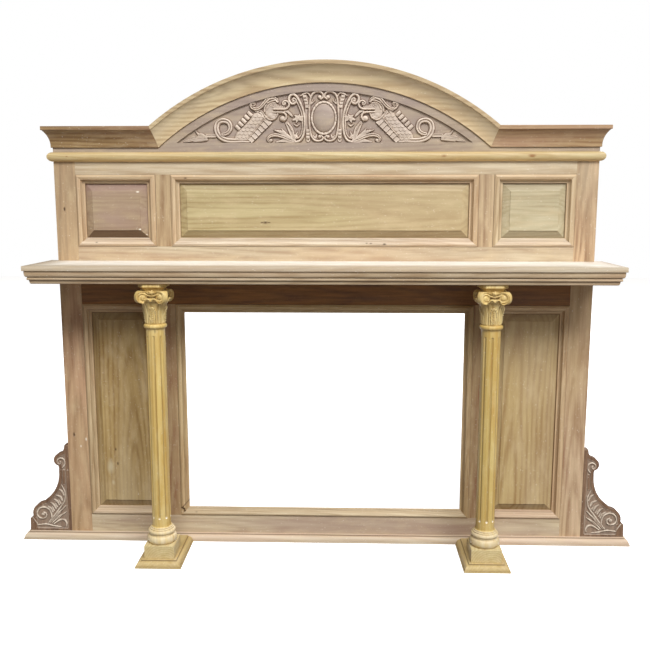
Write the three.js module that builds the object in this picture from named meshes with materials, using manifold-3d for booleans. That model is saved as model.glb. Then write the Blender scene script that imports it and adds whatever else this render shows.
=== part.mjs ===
// A panelled wooden fireplace mantelpiece with free-standing columns, a deep shelf and an overmantel whose arched
// frieze is carved with two facing dragons. Millimetres; X to the right, Y away from the viewer, Z up from the floor.
// The origin is on the floor, at the middle of the whole piece's width and depth.

import * as THREE from 'three';
import { mergeVertices } from 'three/addons/utils/BufferGeometryUtils.js';
import Module from 'manifold-3d';

const wasm = await Module();
wasm.setup();

// Driving dimensions of the frame
const openJoint = 0.3;
const smallestFeature = 0.15;
const frameThickness = 35;
const frameWidth = 2179.4;
const lowerFrameHeight = 1098;
const lowerOuterStile = 89.1;
const lowerInnerStile = 62.1;
const lowerPanelWidth = 325.6;
const lowerTopRail = 108.6;
const lowerBottomRail = 76.3;
const upperFrameHeight = 397.7;
const upperOuterStile = 85.9;
const upperMullion = 60.7;
const upperPanelWidth = 324.2;
const upperTopRail = 50.9;
const upperBottomRail = 58.5;

// Driving dimensions of the panels and of the moulding mitred round them
const panelThickness = 10;
const panelTongueDepth = 16;
const panelBevelRise = 13.5;
const panelShoulder = 2.5;
const panelBevel = 30;
const mouldingWidth = 35;
const mouldingProud = 8;
const mouldingSightDepth = 8;

// Driving dimensions of the base board, the shelf and the nosing rail
const baseBoardPastBracket = 20.7;
const baseBoardHeight = 31.7;
const baseBoardProjection = 27;
const baseMouldInset = 19;
const ovoloFilletShare = 0.24;
const ovoloTopShare = 0.14;
const ovoloStepShare = 0.14;
const ovoloQuirk = 0.6;
const shelfWidth = 2263.2;
const shelfProjection = 280;
const shelfBoardThickness = 19;
const shelfBedThickness = 51;
const shelfBedSetback = 6;
const shelfBedInset = 20;
const shelfNoseEase = 1.5;
const nosingHeight = 38;
const nosingProjection = 20;

// Driving dimensions of the frieze, its sunk field and the cornice
const cornicePlainBelow = 17.4;
const corniceHeight = 81.7;
const corniceProjection = 34.5;
const corniceBottomFillet = 4;
const corniceTopFillet = 15;
const archRadius = 1002;
const archCentreDrop = 753;
const fieldBorder = 32;
const fieldFloor = 18;
const fieldDepth = 8;
const reliefHeight = 13;

// Driving dimensions of the columns
const columnSpacing = 1300;
const columnProjection = 197;
const footWidth = 183;
const footHeight = 29;
const footFrontReach = 92.4;
const footMouldInset = 22;
const dieWidth = 120;
const dieHeight = 52.4;
const shaftDiameter = 74;
const shaftLength = 890;
const lowerTorusDiameter = 119;
const lowerTorusHeight = 33;
const torusGroove = 6;
const upperTorusDiameter = 109;
const upperTorusHeight = 16;
const neckRingDiameter = 90;
const neckRingHeight = 17;
const fluteCount = 8;
const fluteRadius = 5.5;
const fluteDepth = 3.4;
const fluteStartAboveDie = 100;
const fluteStopBelowTop = 44;
const bellDiameter = 69;
const drumDiameter = 90;
const abacusWidth = 108;
const abacusSlab = 11;
const abacusNeck = 17;
const voluteRadius = 24;
const voluteReach = 61;
const voluteThickness = 15;
const voluteFlare = 0.24;

// Driving dimensions of the side brackets
const bracketReach = 182;
const bracketHeight = 383;
const bracketThickness = 34;
const bracketRelief = 3.5;

// Places that follow from them
const halfJoint = openJoint / 2;
const overallDepth = frameThickness + columnProjection + footFrontReach;
const back = overallDepth / 2;
const face = back - frameThickness;
const halfFrame = frameWidth / 2;
const baseBoardWidth = frameWidth + 2 * (bracketReach + baseBoardPastBracket);
const lowerBottom = baseBoardHeight;
const shelfBottom = lowerBottom + lowerFrameHeight;
const shelfTop = shelfBottom + shelfBedThickness + shelfBoardThickness;
const upperTop = shelfTop + upperFrameHeight;
const friezeBottom = upperTop + nosingHeight;
const corniceBottom = friezeBottom + cornicePlainBelow;
const archCentre = corniceBottom - archCentreDrop;
const columnAxis = face - columnProjection;
const lowerPanelCentre = halfFrame - lowerOuterStile - lowerPanelWidth / 2;
const openingHalf = halfFrame - lowerOuterStile - lowerPanelWidth - lowerInnerStile;
const upperPanelCentre = halfFrame - upperOuterStile - upperPanelWidth / 2;
const centrePanelHalf = halfFrame - upperOuterStile - upperPanelWidth - upperMullion;

const wood = (color, roughness = 0.7) => new THREE.MeshStandardMaterial({ color, roughness, metalness: 0 });
const frameWood = wood(0xa98d6b);
const panelWood = wood(0x93794f);
const corniceWood = wood(0x8f744c);
const friezeWood = wood(0x9a8170);
const nosingWood = wood(0xc9b27c);
const shelfWood = wood(0xc2ad84);
const baseWood = wood(0xcdb08c);
const columnWood = wood(0xcdb574, 0.65);
const bracketWood = wood(0x7d6350);

const mantelpiece = new THREE.Group();

function addPiece(name, geometry, material) {
  const piece = new THREE.Mesh(geometry, material);
  piece.name = name;
  mantelpiece.add(piece);
  return piece;
}

// Closed meshes and their booleans

// Signed volume of an indexed mesh, negative when its faces point inwards
function signedVolume(points, faces) {
  const corner = faces.map((vertex) => new THREE.Vector3(...points[vertex]));
  let sum = 0;
  for (let i = 0; i < corner.length; i += 3) {
    sum += corner[i].dot(corner[i + 1].clone().cross(corner[i + 2]));
  }
  return sum / 6;
}

// A solid through rings of points that all have the same count, closed at both ends by the cap triangles
function loft(rings, capTriangles) {
  const count = rings[0].length;
  const points = rings.flat();
  const faces = [];
  for (let r = 0; r + 1 < rings.length; r += 1) {
    for (let k = 0; k < count; k += 1) {
      const a = r * count + k;
      const b = r * count + (k + 1) % count;
      faces.push(a, b, b + count, a, b + count, a + count);
    }
  }
  const last = (rings.length - 1) * count;
  for (const [a, b, c] of capTriangles) {
    faces.push(a, c, b, last + a, last + b, last + c);
  }
  if (signedVolume(points, faces) < 0) {
    faces.reverse();
  }
  const geometry = new THREE.BufferGeometry();
  geometry.setAttribute('position', new THREE.Float32BufferAttribute(points.flat(), 3));
  geometry.setIndex(faces);
  geometry.computeVertexNormals();
  return geometry;
}

// Triangles that fill an outline, turning the same way round as the outline does
function capOf(outline) {
  const contour = outline.map(([x, y]) => new THREE.Vector2(x, y));
  const triangles = THREE.ShapeUtils.triangulateShape(contour, []);
  const outlineTurn = THREE.ShapeUtils.area(contour);
  return triangles.map((triangle) => {
    const triangleTurn = THREE.ShapeUtils.area(triangle.map((vertex) => contour[vertex]));
    return triangleTurn * outlineTurn < 0 ? triangle.slice().reverse() : triangle;
  });
}

function fanCap(count) {
  return Array.from({ length: count - 2 }, (_, k) => [0, k + 1, k + 2]);
}

function toSolid(geometry) {
  const bare = geometry.clone();
  bare.deleteAttribute('normal');
  bare.deleteAttribute('uv');
  const merged = mergeVertices(bare, 1e-4);
  const vertProperties = new Float32Array(merged.attributes.position.array);
  const triVerts = new Uint32Array(merged.index.array);
  return new wasm.Manifold(new wasm.Mesh({ numProp: 3, vertProperties, triVerts }));
}

// The joined solid as a mesh, with slivers under smallestFeature dropped
function toGeometry(solid) {
  const mesh = solid.simplify(smallestFeature).getMesh();
  const geometry = new THREE.BufferGeometry();
  geometry.setAttribute('position', new THREE.BufferAttribute(new Float32Array(mesh.vertProperties), 3));
  geometry.setIndex(new THREE.BufferAttribute(new Uint32Array(mesh.triVerts), 1));
  geometry.computeVertexNormals();
  return geometry;
}

function joined(geometries) {
  return geometries.map(toSolid).reduce((whole, next) => whole.add(next));
}

// Plain boards, moulded slabs, panels and mitred lengths

// A board between two X, two Y and two Z values, half a joint short at its ends and edges
function board(name, xs, ys, zs, material) {
  const width = xs[1] - xs[0] - openJoint;
  const height = zs[1] - zs[0] - openJoint;
  const piece = addPiece(name, new THREE.BoxGeometry(width, ys[1] - ys[0], height), material);
  piece.position.set((xs[0] + xs[1]) / 2, (ys[0] + ys[1]) / 2, (zs[0] + zs[1]) / 2);
  return piece;
}

// A slab whose front and two ends carry a moulded edge: the section is a list of [inset, height]
function mouldedSlab(halfWidth, front, rear, bottom, section) {
  const rings = section.map(([inset, height]) => [
    [-halfWidth + inset, rear, bottom + height],
    [halfWidth - inset, rear, bottom + height],
    [halfWidth - inset, front + inset, bottom + height],
    [-halfWidth + inset, front + inset, bottom + height],
  ]);
  return loft(rings, fanCap(4));
}

// An ovolo edge between two fillets, as [inset, height] from the underside up
function ovoloSection(height, inset, steps = 4) {
  const fillet = height * ovoloFilletShare;
  const topFillet = height * ovoloTopShare;
  const step = inset * ovoloStepShare;
  const rise = height - fillet - topFillet - 2 * ovoloQuirk;
  const section = [[0, 0], [0, fillet], [step, fillet + ovoloQuirk]];
  for (let k = 1; k <= steps; k += 1) {
    const turn = (k / steps) * (Math.PI / 2);
    section.push([step + (inset - 2 * step) * (1 - Math.cos(turn)), fillet + ovoloQuirk + rise * Math.sin(turn)]);
  }
  section.push([inset, height - topFillet], [inset, height]);
  return section;
}

function uprightRect(halfWidth, halfHeight, y) {
  return [[-halfWidth, y, -halfHeight], [halfWidth, y, -halfHeight], [halfWidth, y, halfHeight],
    [-halfWidth, y, halfHeight]];
}

// A raised and fielded panel in a frame opening, with its tongue under the mouldings
function fieldedPanel(name, centreX, width, bottom, top) {
  const halfWidth = width / 2 - openJoint;
  const halfHeight = (top - bottom) / 2 - openJoint;
  const field = mouldingWidth + panelBevel;
  const tongue = face + panelTongueDepth;
  const rings = [
    uprightRect(halfWidth, halfHeight, tongue + panelThickness),
    uprightRect(halfWidth, halfHeight, tongue),
    uprightRect(width / 2 - mouldingWidth, (top - bottom) / 2 - mouldingWidth, tongue),
    uprightRect(width / 2 - field, (top - bottom) / 2 - field, tongue - panelBevelRise),
    uprightRect(width / 2 - field - 1, (top - bottom) / 2 - field - 1, tongue - panelBevelRise - panelShoulder),
  ];
  addPiece(name, loft(rings, fanCap(4)), panelWood).position.set(centreX, 0, (bottom + top) / 2);
}

// The panel moulding in section, [distance out from the sight edge, height above the frame's face]: a fillet at the
// sight edge, a small cove, a sloping face that rises to the arris, and a rounded outer edge
const mouldingSeat = -panelTongueDepth + openJoint;
const mouldingOuter = mouldingWidth - openJoint;
const mouldingSection = [
  [0, mouldingSeat],
  [0, -mouldingSightDepth],
  [mouldingWidth * 0.14, -mouldingSightDepth],
  [mouldingWidth * 0.24, -mouldingSightDepth * 0.4],
  [mouldingWidth * 0.43, mouldingProud * 0.15],
  [mouldingWidth * 0.74, mouldingProud],
  [mouldingWidth * 0.84, mouldingProud * 0.9],
  [mouldingOuter, mouldingProud * 0.2],
  [mouldingOuter, mouldingSeat],
];

// One length of that moulding, mitred at both ends: it lies along X with its sight edge at Z = 0
function mitredLength(sightLength) {
  const half = sightLength / 2 - halfJoint;
  const end = (side) => mouldingSection.map(([out, height]) => [side * (half + out), -height, out]);
  return loft([end(-1), end(1)], capOf(mouldingSection));
}

// Four mitred lengths round an opening of the frame
function mouldingFrame(name, centreX, width, bottom, top) {
  const sides = [['top', 0, width, top - bottom], ['right', 1, top - bottom, width],
    ['bottom', 2, width, top - bottom], ['left', 3, top - bottom, width]];
  for (const [side, quarter, along, across] of sides) {
    const geometry = mitredLength(along - 2 * mouldingWidth);
    geometry.translate(0, 0, across / 2 - mouldingWidth);
    geometry.rotateY(quarter * Math.PI / 2);
    addPiece(`${name}_moulding_${side}`, geometry, frameWood).position.set(centreX, face, (bottom + top) / 2);
  }
}

// Base board

addPiece('base_board', mouldedSlab(baseBoardWidth / 2, face - baseBoardProjection, back, 0,
  ovoloSection(baseBoardHeight - halfJoint, baseMouldInset)), baseWood);

// Lower frame, its panels and the mouldings round them and round the fire opening

const frameDepth = [face, back];
const lowerOpening = [lowerBottom + lowerBottomRail, shelfBottom - lowerTopRail];
for (const [side, sign] of [['left', -1], ['right', 1]]) {
  const span = (near, far) => [sign * near, sign * far].sort((a, b) => a - b);
  board(`lower_${side}_outer_stile`, span(halfFrame - lowerOuterStile, halfFrame), frameDepth,
    [lowerBottom, shelfBottom], frameWood);
  board(`lower_${side}_inner_stile`, span(openingHalf, openingHalf + lowerInnerStile), frameDepth,
    lowerOpening, frameWood);
  fieldedPanel(`lower_${side}_panel`, sign * lowerPanelCentre, lowerPanelWidth, ...lowerOpening);
  mouldingFrame(`lower_${side}`, sign * lowerPanelCentre, lowerPanelWidth, ...lowerOpening);
}
const lowerRailSpan = [-(halfFrame - lowerOuterStile), halfFrame - lowerOuterStile];
board('lower_bottom_rail', lowerRailSpan, frameDepth, [lowerBottom, lowerOpening[0]], frameWood);
board('lower_top_rail', lowerRailSpan, frameDepth, [lowerOpening[1], shelfBottom], frameWood);
mouldingFrame('fire_opening', 0, 2 * openingHalf, ...lowerOpening);

// Shelf: a board with a square nosing on a moulded bed that bears on the frame and the two columns

// The bed's edge as [inset, depth below its top], both as shares: an ovolo, a step, a narrow band, a step and a flat
const bedSection = [
  [0, 0.003], [0, 0.34], [0.12, 0.41], [0.35, 0.48], [0.57, 0.51], [0.6, 0.55], [0.7, 0.57], [0.72, 0.66],
  [0.85, 0.7], [1, 0.74], [1, 0.997],
].map(([inset, depth]) => [inset * shelfBedInset, (1 - depth) * shelfBedThickness]).reverse();
addPiece('shelf_bed', mouldedSlab(shelfWidth / 2 - shelfBedSetback, face - shelfProjection + shelfBedSetback, back,
  shelfBottom, bedSection), shelfWood);
addPiece('shelf_board', mouldedSlab(shelfWidth / 2, face - shelfProjection, back, shelfTop - shelfBoardThickness, [
  [shelfNoseEase, halfJoint],
  [0, shelfNoseEase],
  [0, shelfBoardThickness - shelfNoseEase],
  [shelfNoseEase, shelfBoardThickness - halfJoint],
]), shelfWood);

// Overmantel frame, its three panels and their mouldings

const upperOpening = [shelfTop + upperBottomRail, upperTop - upperTopRail];
for (const [side, sign] of [['left', -1], ['right', 1]]) {
  const span = (near, far) => [sign * near, sign * far].sort((a, b) => a - b);
  board(`upper_${side}_outer_stile`, span(halfFrame - upperOuterStile, halfFrame), frameDepth,
    [shelfTop, upperTop], frameWood);
  board(`upper_${side}_mullion`, span(centrePanelHalf, centrePanelHalf + upperMullion), frameDepth,
    upperOpening, frameWood);
  fieldedPanel(`upper_${side}_panel`, sign * upperPanelCentre, upperPanelWidth, ...upperOpening);
  mouldingFrame(`upper_${side}`, sign * upperPanelCentre, upperPanelWidth, ...upperOpening);
}
const upperRailSpan = [-(halfFrame - upperOuterStile), halfFrame - upperOuterStile];
board('upper_bottom_rail', upperRailSpan, frameDepth, [shelfTop, upperOpening[0]], frameWood);
board('upper_top_rail', upperRailSpan, frameDepth, [upperOpening[1], upperTop], frameWood);
fieldedPanel('upper_centre_panel', 0, 2 * centrePanelHalf, ...upperOpening);
mouldingFrame('upper_centre', 0, 2 * centrePanelHalf, ...upperOpening);

// Half-round nosing rail between the frame and the frieze, returned round both ends

const nosingRound = (nosingHeight - openJoint) / 2;
const nosingSection = Array.from({ length: 9 }, (_, k) => {
  const turn = (k / 8 - 0.5) * Math.PI;
  return [nosingProjection * (1 - Math.cos(turn)), nosingRound * (1 + Math.sin(turn))];
});
addPiece('half_round_rail', mouldedSlab(halfFrame + nosingProjection, face - nosingProjection, back,
  upperTop + halfJoint, nosingSection), nosingWood);

// Cornice section: [projection from the face, height above its lower edge]

const coveTurn = THREE.MathUtils.degToRad(66);
const coveRise = corniceHeight - corniceTopFillet - corniceBottomFillet - 2;
const coveReach = corniceProjection - corniceBottomFillet - 5;
const cove = Array.from({ length: 4 }, (_, k) => {
  const turn = (k / 3) * coveTurn;
  return [corniceBottomFillet + coveReach * (1 - Math.cos(turn)) / (1 - Math.cos(coveTurn)),
    corniceBottomFillet + coveRise * Math.sin(turn) / Math.sin(coveTurn)];
});
const corniceSection = [
  [openJoint, 0],
  [corniceBottomFillet, 0],
  ...cove,
  [corniceProjection - 1, corniceHeight - corniceTopFillet - 1],
  [corniceProjection, corniceHeight - corniceTopFillet],
  [corniceProjection, corniceHeight],
  [openJoint, corniceHeight],
];

// The X where a straight run meets the arch, at a height above the cornice's lower edge
function mitreX(height) {
  return Math.sqrt((archRadius + height) ** 2 - (archCentreDrop + height) ** 2);
}

for (const [side, sign] of [['left', -1], ['right', 1]]) {
  const rings = [
    corniceSection.map(([out, up]) => [sign * (halfFrame + out), back, corniceBottom + up]),
    corniceSection.map(([out, up]) => [sign * (halfFrame + out), face - out, corniceBottom + up]),
    corniceSection.map(([out, up]) => [sign * (mitreX(up) + halfJoint), face - out, corniceBottom + up]),
  ];
  addPiece(`cornice_${side}_run`, loft(rings, capOf(corniceSection)), corniceWood);
}
const archSteps = 16;
const archRings = Array.from({ length: archSteps + 1 }, (_, step) => {
  const share = 2 * step / archSteps - 1;
  return corniceSection.map(([out, up]) => {
    const radius = archRadius + up;
    const turn = share * Math.asin((mitreX(up) - halfJoint) / radius);
    return [radius * Math.sin(turn), face - out, archCentre + radius * Math.cos(turn)];
  });
});
addPiece('cornice_arch', loft(archRings, capOf(corniceSection)), corniceWood);

// Carving: ridges laid along curves in an upright plane

const curveThrough = (points, count) => new THREE.SplineCurve(points.map(([x, z]) => new THREE.Vector2(x, z)))
  .getSpacedPoints(count).map((p) => [p.x, p.y]);

// Points winding in from the outer to the inner radius; the angle starts at startTurn and runs through turns
function scroll([centreX, centreZ], outer, inner, startTurn, turns, count) {
  return Array.from({ length: count + 1 }, (_, k) => {
    const share = k / count;
    const turn = 2 * Math.PI * (startTurn + turns * share);
    const radius = outer + (inner - outer) * share;
    return [centreX + radius * Math.cos(turn), centreZ + radius * Math.sin(turn)];
  });
}

// A ridge along a path of [x, z] points: its half width runs from the first to the last value through the middle
// one, its crest stands that high in front of the ground, and its foot is sunk a little behind the ground.
// flat is the crest's width as a share of the ridge's; at 0 the crest is an edge.
function ridge(path, widths, crest, ground, flat = 0) {
  const sunk = 1.5;
  const rings = path.map(([x, z], k) => {
    const share = k / (path.length - 1);
    const before = path[Math.max(k - 1, 0)];
    const after = path[Math.min(k + 1, path.length - 1)];
    const length = Math.hypot(after[0] - before[0], after[1] - before[1]);
    const normal = [-(after[1] - before[1]) / length, (after[0] - before[0]) / length];
    const [start, middle, end] = widths;
    const half = share < 0.5 ? THREE.MathUtils.lerp(start, middle, 2 * share)
      : THREE.MathUtils.lerp(middle, end, 2 * share - 1);
    const rise = crest * (0.45 + 0.55 * half / Math.max(...widths));
    const at = (offset, y) => [x + normal[0] * offset * half, y, z + normal[1] * offset * half];
    const foot = [at(-1, ground + sunk), at(1, ground + sunk)];
    return flat > 0 ? [...foot, at(flat, ground - rise), at(-flat, ground - rise)] : [...foot, at(0, ground - rise)];
  });
  return loft(rings, fanCap(rings[0].length));
}

// A low domed boss on an oval base
function boss([x, z], halfWidth, halfHeight, crest, ground, sides = 12) {
  const ring = (share, y) => Array.from({ length: sides }, (_, k) => {
    const turn = 2 * Math.PI * (k + 0.5) / sides;
    return [x + share * halfWidth * Math.cos(turn), y, z + share * halfHeight * Math.sin(turn)];
  });
  return loft([ring(1, ground + 1.5), ring(0.8, ground - crest * 0.7), ring(0.4, ground - crest)], fanCap(sides));
}

// Frieze board with its sunk and carved arched field

const friezeTop = corniceBottom + corniceHeight;
const archOuter = archRadius + corniceHeight;
const archCentreUp = archCentre - friezeBottom;
const crownX = mitreX(corniceHeight);
const crownTurn = Math.acos(crownX / archOuter);
const friezeOutline = new THREE.Shape();
friezeOutline.moveTo(-halfFrame + halfJoint, halfJoint);
friezeOutline.lineTo(halfFrame - halfJoint, halfJoint);
friezeOutline.lineTo(halfFrame - halfJoint, friezeTop - friezeBottom);
friezeOutline.lineTo(crownX, friezeTop - friezeBottom);
friezeOutline.absarc(0, archCentreUp, archOuter, crownTurn, Math.PI - crownTurn, false);
friezeOutline.lineTo(-halfFrame + halfJoint, friezeTop - friezeBottom);

// Stands a shape drawn in X and Z upright, between two Y values, with its own zero height at a given Z
function upright(shape, front, rear, bottom, curveSegments) {
  const geometry = new THREE.ExtrudeGeometry(shape, { depth: rear - front, bevelEnabled: false, curveSegments });
  geometry.rotateX(Math.PI / 2);
  geometry.translate(0, rear, bottom);
  return geometry;
}

const fieldRadius = archRadius - fieldBorder;
const fieldBottomUp = cornicePlainBelow + fieldFloor;
const fieldHalfWidth = Math.sqrt(fieldRadius ** 2 - (fieldBottomUp - archCentreUp) ** 2);
const fieldHeight = archCentreUp + fieldRadius - fieldBottomUp;
const fieldTurn = Math.acos(fieldHalfWidth / fieldRadius);
const fieldOutline = new THREE.Shape();
fieldOutline.moveTo(-fieldHalfWidth, fieldBottomUp);
fieldOutline.lineTo(fieldHalfWidth, fieldBottomUp);
fieldOutline.absarc(0, archCentreUp, fieldRadius, fieldTurn, Math.PI - fieldTurn, false);

// The carving is drawn on a sheet from the middle of the field's lower edge, 585.5 out and 200.9 up, and is fitted
// to the field
const fieldGround = face + fieldDepth;
const fieldUnit = [fieldHalfWidth / 585.5, fieldHeight / 200.9];
const onField = (sign) => ([x, z]) => [sign * x * fieldUnit[0], friezeBottom + fieldBottomUp + z * fieldUnit[1]];

// One half of the carving, drawn for the right side with the middle at X = 0
function carvedHalf(sign) {
  const place = onField(sign);
  const stroke = (points, count, widths, crest = 0.8, flat = 0) => ridge(curveThrough(points, count).map(place),
    widths, reliefHeight * crest, fieldGround, flat);
  const curl = (centre, outer, inner, start, turns, count, widths) => ridge(
    scroll(centre, outer, inner, start, turns, count).map(place), widths, reliefHeight * 0.75, fieldGround);
  const knob = (centre, radius, crest, sides = 6) => boss(place(centre), radius, radius, reliefHeight * crest,
    fieldGround, sides);
  const crenels = Array.from({ length: 5 }, (_, k) => knob([287 + 14 * k, 112 - 13 * k], 6, 0.55, 4));
  return [
    // dragon: body, tail, neck and brow, jaws, horn and eye
    stroke([[228, 112], [246, 78], [284, 46], [348, 18]], 5, [33, 28, 11], 1, 0.4),
    stroke([[340, 16], [385, 11], [416, 26], [431, 52], [424, 78], [400, 90], [374, 80], [365, 56], [374, 36],
      [392, 36]], 11, [11, 8, 4], 0.85),
    stroke([[236, 96], [226, 126], [208, 142], [186, 146]], 3, [26, 24, 14], 0.95, 0.4),
    stroke([[206, 140], [178, 136], [160, 141], [152, 153], [162, 158]], 5, [11, 8, 4], 0.9),
    stroke([[214, 106], [190, 109], [172, 108], [160, 99], [166, 92]], 4, [11, 7, 4], 0.8),
    stroke([[186, 170], [208, 170], [230, 158], [254, 134], [274, 130], [289, 147]], 5, [5, 6, 3], 1.05),
    knob([203, 148], 7, 1.2),
    ...crenels,
    // stem and bud that end the tail's side
    stroke([[428, 28], [462, 28], [488, 24], [520, 14], [552, 7]], 4, [4, 13, 2], 0.7),
    // leaf spray from the mouth and its flower
    stroke([[150, 126], [138, 120], [126, 106]], 2, [3, 6, 4], 0.7),
    knob([102, 99], 17, 0.75),
    // acanthus below the jaws
    stroke([[118, 9], [160, 14], [196, 8], [216, 14], [208, 26]], 5, [8, 7, 3], 0.85),
    stroke([[124, 12], [160, 26], [188, 42]], 3, [6, 8, 3], 0.75),
    stroke([[118, 12], [136, 44], [148, 74]], 3, [6, 9, 3], 0.8),
    // outer C-scroll of the cartouche, the banded strap beside it, and the inner scrolls round the oval
    stroke([[92, 6], [78, 34], [71, 86], [76, 132], [92, 172]], 5, [6, 6, 5], 0.85),
    curl([112, 160], 23, 6, 0.42, -1.1, 6, [5, 5, 4]),
    stroke([[62, 14], [64, 96], [62, 184]], 2, [7, 8, 7], 0.6, 0.5),
    stroke([[20, 12], [44, 34], [54, 96], [46, 168], [36, 194], [16, 197], [5, 184]], 8, [5, 5, 5], 0.95),
    knob([12, 173], 8, 0.9),
    knob([19, 24], 8, 0.9),
  ];
}

const medallion = [
  boss(onField(1)([0, 95]), 43, 56, reliefHeight * 1.15, fieldGround, 10),
];
const sunkField = upright(fieldOutline, face - 5, fieldGround, friezeBottom, 20);
const friezeBlank = toSolid(upright(friezeOutline, face, back, friezeBottom, 24)).subtract(toSolid(sunkField));
const friezeCarving = joined([...carvedHalf(-1), ...carvedHalf(1), ...medallion]);
addPiece('carved_frieze', toGeometry(friezeBlank.add(friezeCarving)), friezeWood);

// Columns: foot, die, turned and fluted shaft, carved capital

const shaftBottom = footHeight + dieHeight + openJoint;
const shaftTop = shaftBottom + shaftLength;
const shaftRadius = shaftDiameter / 2;
const abacusTop = shelfBottom - openJoint;

// Half-circle bulge of a turned ring, as [radius, height] pairs
function torusPoints(radius, bottom, height, bulge, steps = 3) {
  return Array.from({ length: steps + 1 }, (_, k) => {
    const turn = (k / steps - 0.5) * Math.PI;
    return [radius - bulge * (1 - Math.cos(turn)), bottom + height * (1 + Math.sin(turn)) / 2];
  });
}

function shaftGeometry() {
  const ringBottom = shaftLength - neckRingHeight;
  const upperTorusBottom = lowerTorusHeight + torusGroove;
  const filletBottom = upperTorusBottom + upperTorusHeight;
  const profile = [
    [0, 0],
    ...torusPoints(lowerTorusDiameter / 2, 0, lowerTorusHeight, 7),
    ...torusPoints(upperTorusDiameter / 2, upperTorusBottom, upperTorusHeight, 6, 2),
    [shaftRadius + 6, filletBottom + 8],
    [shaftRadius + 1, filletBottom + 15],
    [shaftRadius, ringBottom - 2],
    ...torusPoints(neckRingDiameter / 2, ringBottom, neckRingHeight, 6, 2),
    [0, shaftLength],
  ].map(([radius, height]) => new THREE.Vector2(radius, height));
  const turned = new THREE.LatheGeometry(profile, 20);
  turned.rotateX(Math.PI / 2);
  const fluteBottom = fluteStartAboveDie + fluteRadius;
  const fluteTop = shaftLength - fluteStopBelowTop - fluteRadius;
  const flutes = Array.from({ length: fluteCount }, (_, k) => {
    const gouge = new THREE.CapsuleGeometry(fluteRadius, fluteTop - fluteBottom, 1, 6);
    gouge.rotateX(Math.PI / 2);
    gouge.translate(0, -(shaftRadius + fluteRadius - fluteDepth), (fluteTop + fluteBottom) / 2);
    gouge.rotateZ(2 * Math.PI * k / fluteCount);
    return gouge;
  });
  return toGeometry(toSolid(turned).subtract(joined(flutes)));
}

// Capital, drawn upwards from its own underside
const capitalHeight = abacusTop - shaftTop - openJoint;
const bellHeight = capitalHeight - abacusSlab - abacusNeck;
const voluteHeight = bellHeight - voluteRadius - 3;

function bellRadius(height) {
  const share = THREE.MathUtils.clamp(height / (bellHeight * 0.66), 0, 1);
  return bellDiameter / 2 + (drumDiameter - bellDiameter) / 2 * share ** 3;
}

function octagonRing(half, height) {
  const flat = half * 0.6;
  return [[-flat, -half], [flat, -half], [half, -flat], [half, flat], [flat, half], [-flat, half], [-half, flat],
    [-half, -flat]].map(([x, y]) => [x, y, height]);
}

function abacusGeometry() {
  const half = abacusWidth / 2;
  const neck = half * 0.72;
  return loft([octagonRing(neck, bellHeight - 1), octagonRing(neck + 2, bellHeight + abacusNeck * 0.5),
    octagonRing(half, bellHeight + abacusNeck), octagonRing(half, capitalHeight)], fanCap(8));
}

// A corner volute: a disc in the diagonal plane, thin at its outer rim, with a dished face and an eye on both sides
function voluteGeometry(turn) {
  const sides = 8;
  const rim = (share, side, lift) => Array.from({ length: sides }, (_, k) => {
    const angle = 2 * Math.PI * k / sides;
    const reach = voluteReach + share * voluteRadius * Math.cos(angle);
    const spread = voluteThickness / 2 + (voluteReach + voluteRadius - reach) * voluteFlare;
    return [reach, side * (spread + lift), voluteHeight + share * voluteRadius * Math.sin(angle)];
  });
  const geometry = loft([rim(0.28, -1, 2), rim(0.62, -1, -2.5), rim(1, -1, 0), rim(1, 1, 0), rim(0.62, 1, -2.5),
    rim(0.28, 1, 2)], fanCap(sides));
  geometry.rotateZ(turn);
  return geometry;
}

// A leaf lying on the bell: rings of left edge, crest, right edge and a point sunk in the bell
function leafGeometry(bottom, top, widths, lean, thickness) {
  const rings = [0, 0.5, 1].map((share) => {
    const height = bottom + (top - bottom) * share;
    const half = THREE.MathUtils.lerp(widths[0], widths[1], share);
    const reach = bellRadius(height) + lean * share ** 3;
    return [[reach - 2, -half, height], [reach + thickness, 0, height], [reach - 2, half, height],
      [bellRadius(height) - 8, 0, height]];
  });
  return loft(rings, fanCap(4));
}

// The curled tip of such a leaf, standing out from it and turned down: rings at growing reach from the axis
function leafTipGeometry(reach, top, half) {
  const ring = (out, share, low, high) => [[-1, low], [1, low], [1, high], [-1, high]].map(([side, up]) => [
    reach + out, side * share * half, top + up]);
  return loft([ring(-5, 0.8, -7, 2), ring(4, 1, -3, 4), ring(9, 0.75, -9, 1)], fanCap(4));
}

function capitalGeometry() {
  const bellProfile = [[0, 0], ...[0, 0.4, 0.66].map((share) => [bellRadius(share * bellHeight),
    share * bellHeight]), [drumDiameter / 2 - 1, bellHeight], [0, bellHeight]];
  const bell = new THREE.LatheGeometry(bellProfile.map(([radius, height]) => new THREE.Vector2(radius, height)), 10);
  bell.rotateX(Math.PI / 2);
  const quarters = [0, 1, 2, 3].map((k) => (k - 1) * Math.PI / 2);
  const parts = [bell, abacusGeometry()];
  for (const turn of quarters) {
    const rosette = new THREE.ConeGeometry(voluteRadius * 0.45, 18, 5);
    rosette.rotateZ(-Math.PI / 2);
    rosette.translate(drumDiameter / 2 - 2, 0, bellHeight - 13);
    rosette.rotateZ(turn);
    parts.push(rosette);
    parts.push(voluteGeometry(turn + Math.PI / 4));
    parts.push(leafGeometry(3, bellHeight * 0.7, [14, 22], 5, 5).rotateZ(turn));
    parts.push(leafTipGeometry(bellRadius(bellHeight * 0.7) + 5, bellHeight * 0.7, 22).rotateZ(turn));
    parts.push(leafGeometry(3, bellHeight * 0.56, [10, 12], 12, 5).rotateZ(turn + Math.PI / 4));
  }
  return toGeometry(joined(parts));
}

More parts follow.
